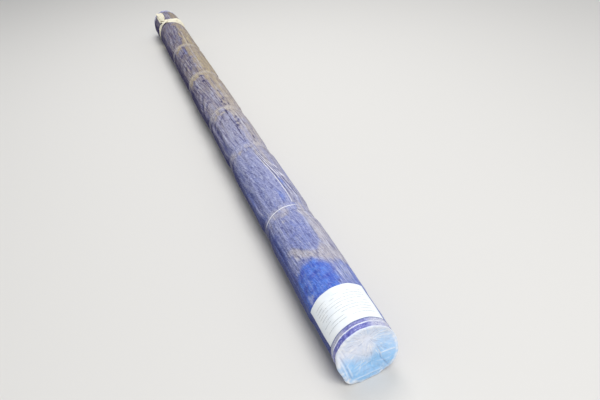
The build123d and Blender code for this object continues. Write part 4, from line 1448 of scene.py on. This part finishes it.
# A flat strand of webbing along a line of controls
def makeStrand(name, ground, controls, seed):
    frames = strandFrames(ground, controls)
    run = frames[-1]
    wave = 0.0004 * (softNoise(0 * run, run, 3, 0.014, seed) - 0.5)
    frames = (frames[0] + frames[1] * wave[:, None],) + frames[1:]
    edge = [(-1, -0.4), (-0.96, -1)]
    middle = [(w, -1) for w in (-0.66, -0.33, 0, 0.33, 0.66)]
    section = edge + middle + [(0.96, -1), (1, -0.4), (1, 0.4), (0.96, 1)] + [(-w, 1) for w, t in middle]
    section += [(-0.96, 1), (-1, 0.4)]
    rows = np.stack([onStrand(frames, w, t) for w, t in section], 1)
    uv = np.stack(np.broadcast_arrays(np.array([w for w, t in section]) * 0.021, run[:, None]), -1)
    piece = closedGrid(name, rows, uv, closeRows=False)
    mesh = together([piece])
    bmesh.ops.holes_fill(mesh, edges=[edge for edge in mesh.edges if edge.is_boundary])
    mesh.to_mesh(piece.data)
    mesh.free()
    piece.data.materials.append(webbing)
    faceOutward(piece)
    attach(piece, "root")


# The two strands of the loop, the second partly over the first
def makeLoop():
    turn = math.degrees(1 / bundle["roundRadius"])
    left, right = sling["openLeft"] * turn, sling["openRight"] * turn
    apart, fan = sling["apart"]
    made = []
    for number, side in enumerate((-1, 1)):
        mesh = together([blueWrap] + made)
        ground = bpy.data.objects.new("ground", bpy.data.meshes.new("ground"))
        mesh.to_mesh(ground.data)
        mesh.free()
        strand = woundStrip(
            f"slingLoop{number + 1}", webbing, sling["chokeAngle"] + right, 360 - right + left,
            sling["place"] + side * apart, sling["strandWidth"], wrap=ground, stepsRound=200,
            stepsAcross=17, lift=0.0001, rise=0.0, thickness=sling["thickness"], wander=0.003,
            seed=side * 3.0, easing=14, fan=side * fan, fanAngle=math.radians(sling["fanAngle"]),
            overFloor=0.0014 if side < 0 else 0.0002, stand=0 if side < 0 else sling["stand"],
        )
        bpy.data.objects.remove(ground)
        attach(strand, "root")
        made.append(strand)
    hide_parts("lifting_sling")
    return made


underStrands = BVHTree.FromBMesh(together([blueWrap] + makeLoop()))
for number, part in enumerate(("bight", "legs", "splice")):
    makeStrand("sling" + part.capitalize(), underStrands, sling[part], 40 + number)


# Thread stitches at even steps along the edges of a line of points
def stitchTree():
    sockets = [("step", "Float"), ("length", "Float"), ("thread", "Float"), ("material", "Material")]
    tree, add, given = newTree("stitches", [("Geometry", "Geometry")] + sockets)
    rows = add("GeometryNodeMeshToCurve", {"Mesh": given["Geometry"]})
    spots = add("GeometryNodeCurveToPoints", {"Curve": rows, "Length": given["step"]}, mode="LENGTH")
    radius = add("MULTIPLY", given["thread"], 0.5)
    sizes = {"Vertices": 6, "Radius": radius, "Depth": given["length"]}
    thread = add("GeometryNodeMeshCylinder", sizes, fill_type="NGON")
    placed = add("GeometryNodeInstanceOnPoints", {
        "Points": spots.outputs["Points"], "Instance": thread.outputs["Mesh"],
        "Rotation": spots.outputs["Rotation"],
    })
    real = add("GeometryNodeRealizeInstances", {"Geometry": placed})
    done = add("GeometryNodeSetMaterial", {"Geometry": real, "Material": given["material"]})
    add("NodeGroupOutput", done)
    return tree


# Spun polyester thread: as white as the webbing and a little smoother.
def threadMaterial():
    material, add, shader = newMaterial("polyester thread")
    setInputs(shader, {"Base Color": linear("#FBF7EA"), "Roughness": 0.6})
    return material


stitches = {"step": 0.0042, "length": 0.0031, "thread": 0.0007, "rows": (-0.84, -0.5, -0.17, 0.17, 0.5, 0.84)}


# Rows of stitches through the splice
def makeStitches():
    frames = strandFrames(underStrands, sling["splice"])
    lines, edges = [], []
    for row in stitches["rows"]:
        line = onStrand(frames, row, 1.25)[4:-4]
        edges += [(len(lines) + i, len(lines) + i + 1) for i in range(len(line) - 1)]
        lines += line.tolist()
    mesh = bpy.data.meshes.new("stitchLines")
    mesh.from_pydata(lines, edges, [])
    values = {key: stitches[key] for key in ("step", "length", "thread")}
    piece = fromTree("spliceStitches", stitchTree(), dict(values, material=threadMaterial()), mesh)
    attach(piece, "root")


makeStitches()
print("sling made")

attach(blueWrap, "root")
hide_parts("blue_wrap")


# Hot-dipped galvanized steel: grey metal with a patchwork of dull and bright zinc crystals.
def rodMaterial():
    material, add, shader = newMaterial("galvanized steel")
    place = add("ShaderNodeTexCoord").outputs["Object"]
    # zinc crystals of about 6 mm
    spangle = add("cells", place, 1000 / 6.25).outputs[1]
    grey = add("ShaderNodeRGBToBW", spangle)
    colour = add("mix", grey, linear("#9DA2A6"), linear("#C3C7CA"))
    roughness = add("ramp", grey, 0.0, 1.0, 0.32, 0.5)
    setInputs(shader, {"Base Color": colour, "Roughness": roughness, "Metallic": 1.0})
    return material


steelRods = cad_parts["steel_rods"]
galvanized = rodMaterial()
for slotNumber in range(len(steelRods.material_slots)):
    steelRods.material_slots[slotNumber].material = galvanized
print("rods finished")

# Floor, background and light


stage = {
    "floorSize": 60,
    "floorDrop": 0.0004,  # just under the bundle's lowest point
    "floorColour": "#DAD8D4",
    "skyColour": "#F2F5FA",
    "skyStrength": 0.40,
    # each lamp: where it stands, where it aims, its size and its power
    "lamps": {
        "keyLight": ((0.5, -3.8, 4.2), (0, -1.2, 0.1), 2.6, 138),
        "overLight": ((0.6, 1.2, 4.2), (0, 0.6, 0.1), 2.8, 114),
    },
}


def makeStage():
    mesh = bpy.data.meshes.new("floor")
    half = stage["floorSize"] / 2
    corners = [(-half, -half, 0), (half, -half, 0), (half, half, 0), (-half, half, 0)]
    mesh.from_pydata(corners, [], [(0, 1, 2, 3)])
    floor = bpy.data.objects.new("floor", mesh)
    floor.location.z = -stage["floorDrop"]
    bpy.context.collection.objects.link(floor)
    material, add, shader = newMaterial("pale floor")
    setInputs(shader, {"Base Color": linear(stage["floorColour"]), "Roughness": 0.9})
    mesh.materials.append(material)

    world = bpy.data.worlds.new("studio")
    bpy.context.scene.world = world
    world.use_nodes = True
    tree = world.node_tree
    add = partial(addNode, tree)
    back = tree.nodes["Background"]
    setInputs(back, {"Color": linear(stage["skyColour"]), "Strength": stage["skyStrength"]})
    white = add("ShaderNodeBackground", {"Color": linear("#FFFFFF"), "Strength": 1.0})
    # the white background is what the camera, reflections and clear things show, and isn't more light
    path = add("ShaderNodeLightPath").outputs
    seen = add("MAXIMUM", path["Is Camera Ray"], path["Is Glossy Ray"])
    seen = add("MAXIMUM", seen, path["Is Transmission Ray"])
    mixed = add("ShaderNodeMixShader", seen, back, white)
    setInputs(tree.nodes["World Output"], {0: mixed})


def addLight(name, place, aim, size, power):
    data = bpy.data.lights.new(name, "AREA")
    data.shape = "SQUARE"
    data.size = size
    data.energy = power
    lamp = bpy.data.objects.new(name, data)
    lamp.location = place
    lamp.rotation_euler = (Vector(aim) - Vector(place)).to_track_quat("-Z", "Y").to_euler()
    bpy.context.collection.objects.link(lamp)


bpy.context.scene.view_settings.view_transform = "Standard"
makeStage()
for name, settings in stage["lamps"].items():
    addLight(name, *settings)
print("stage made")
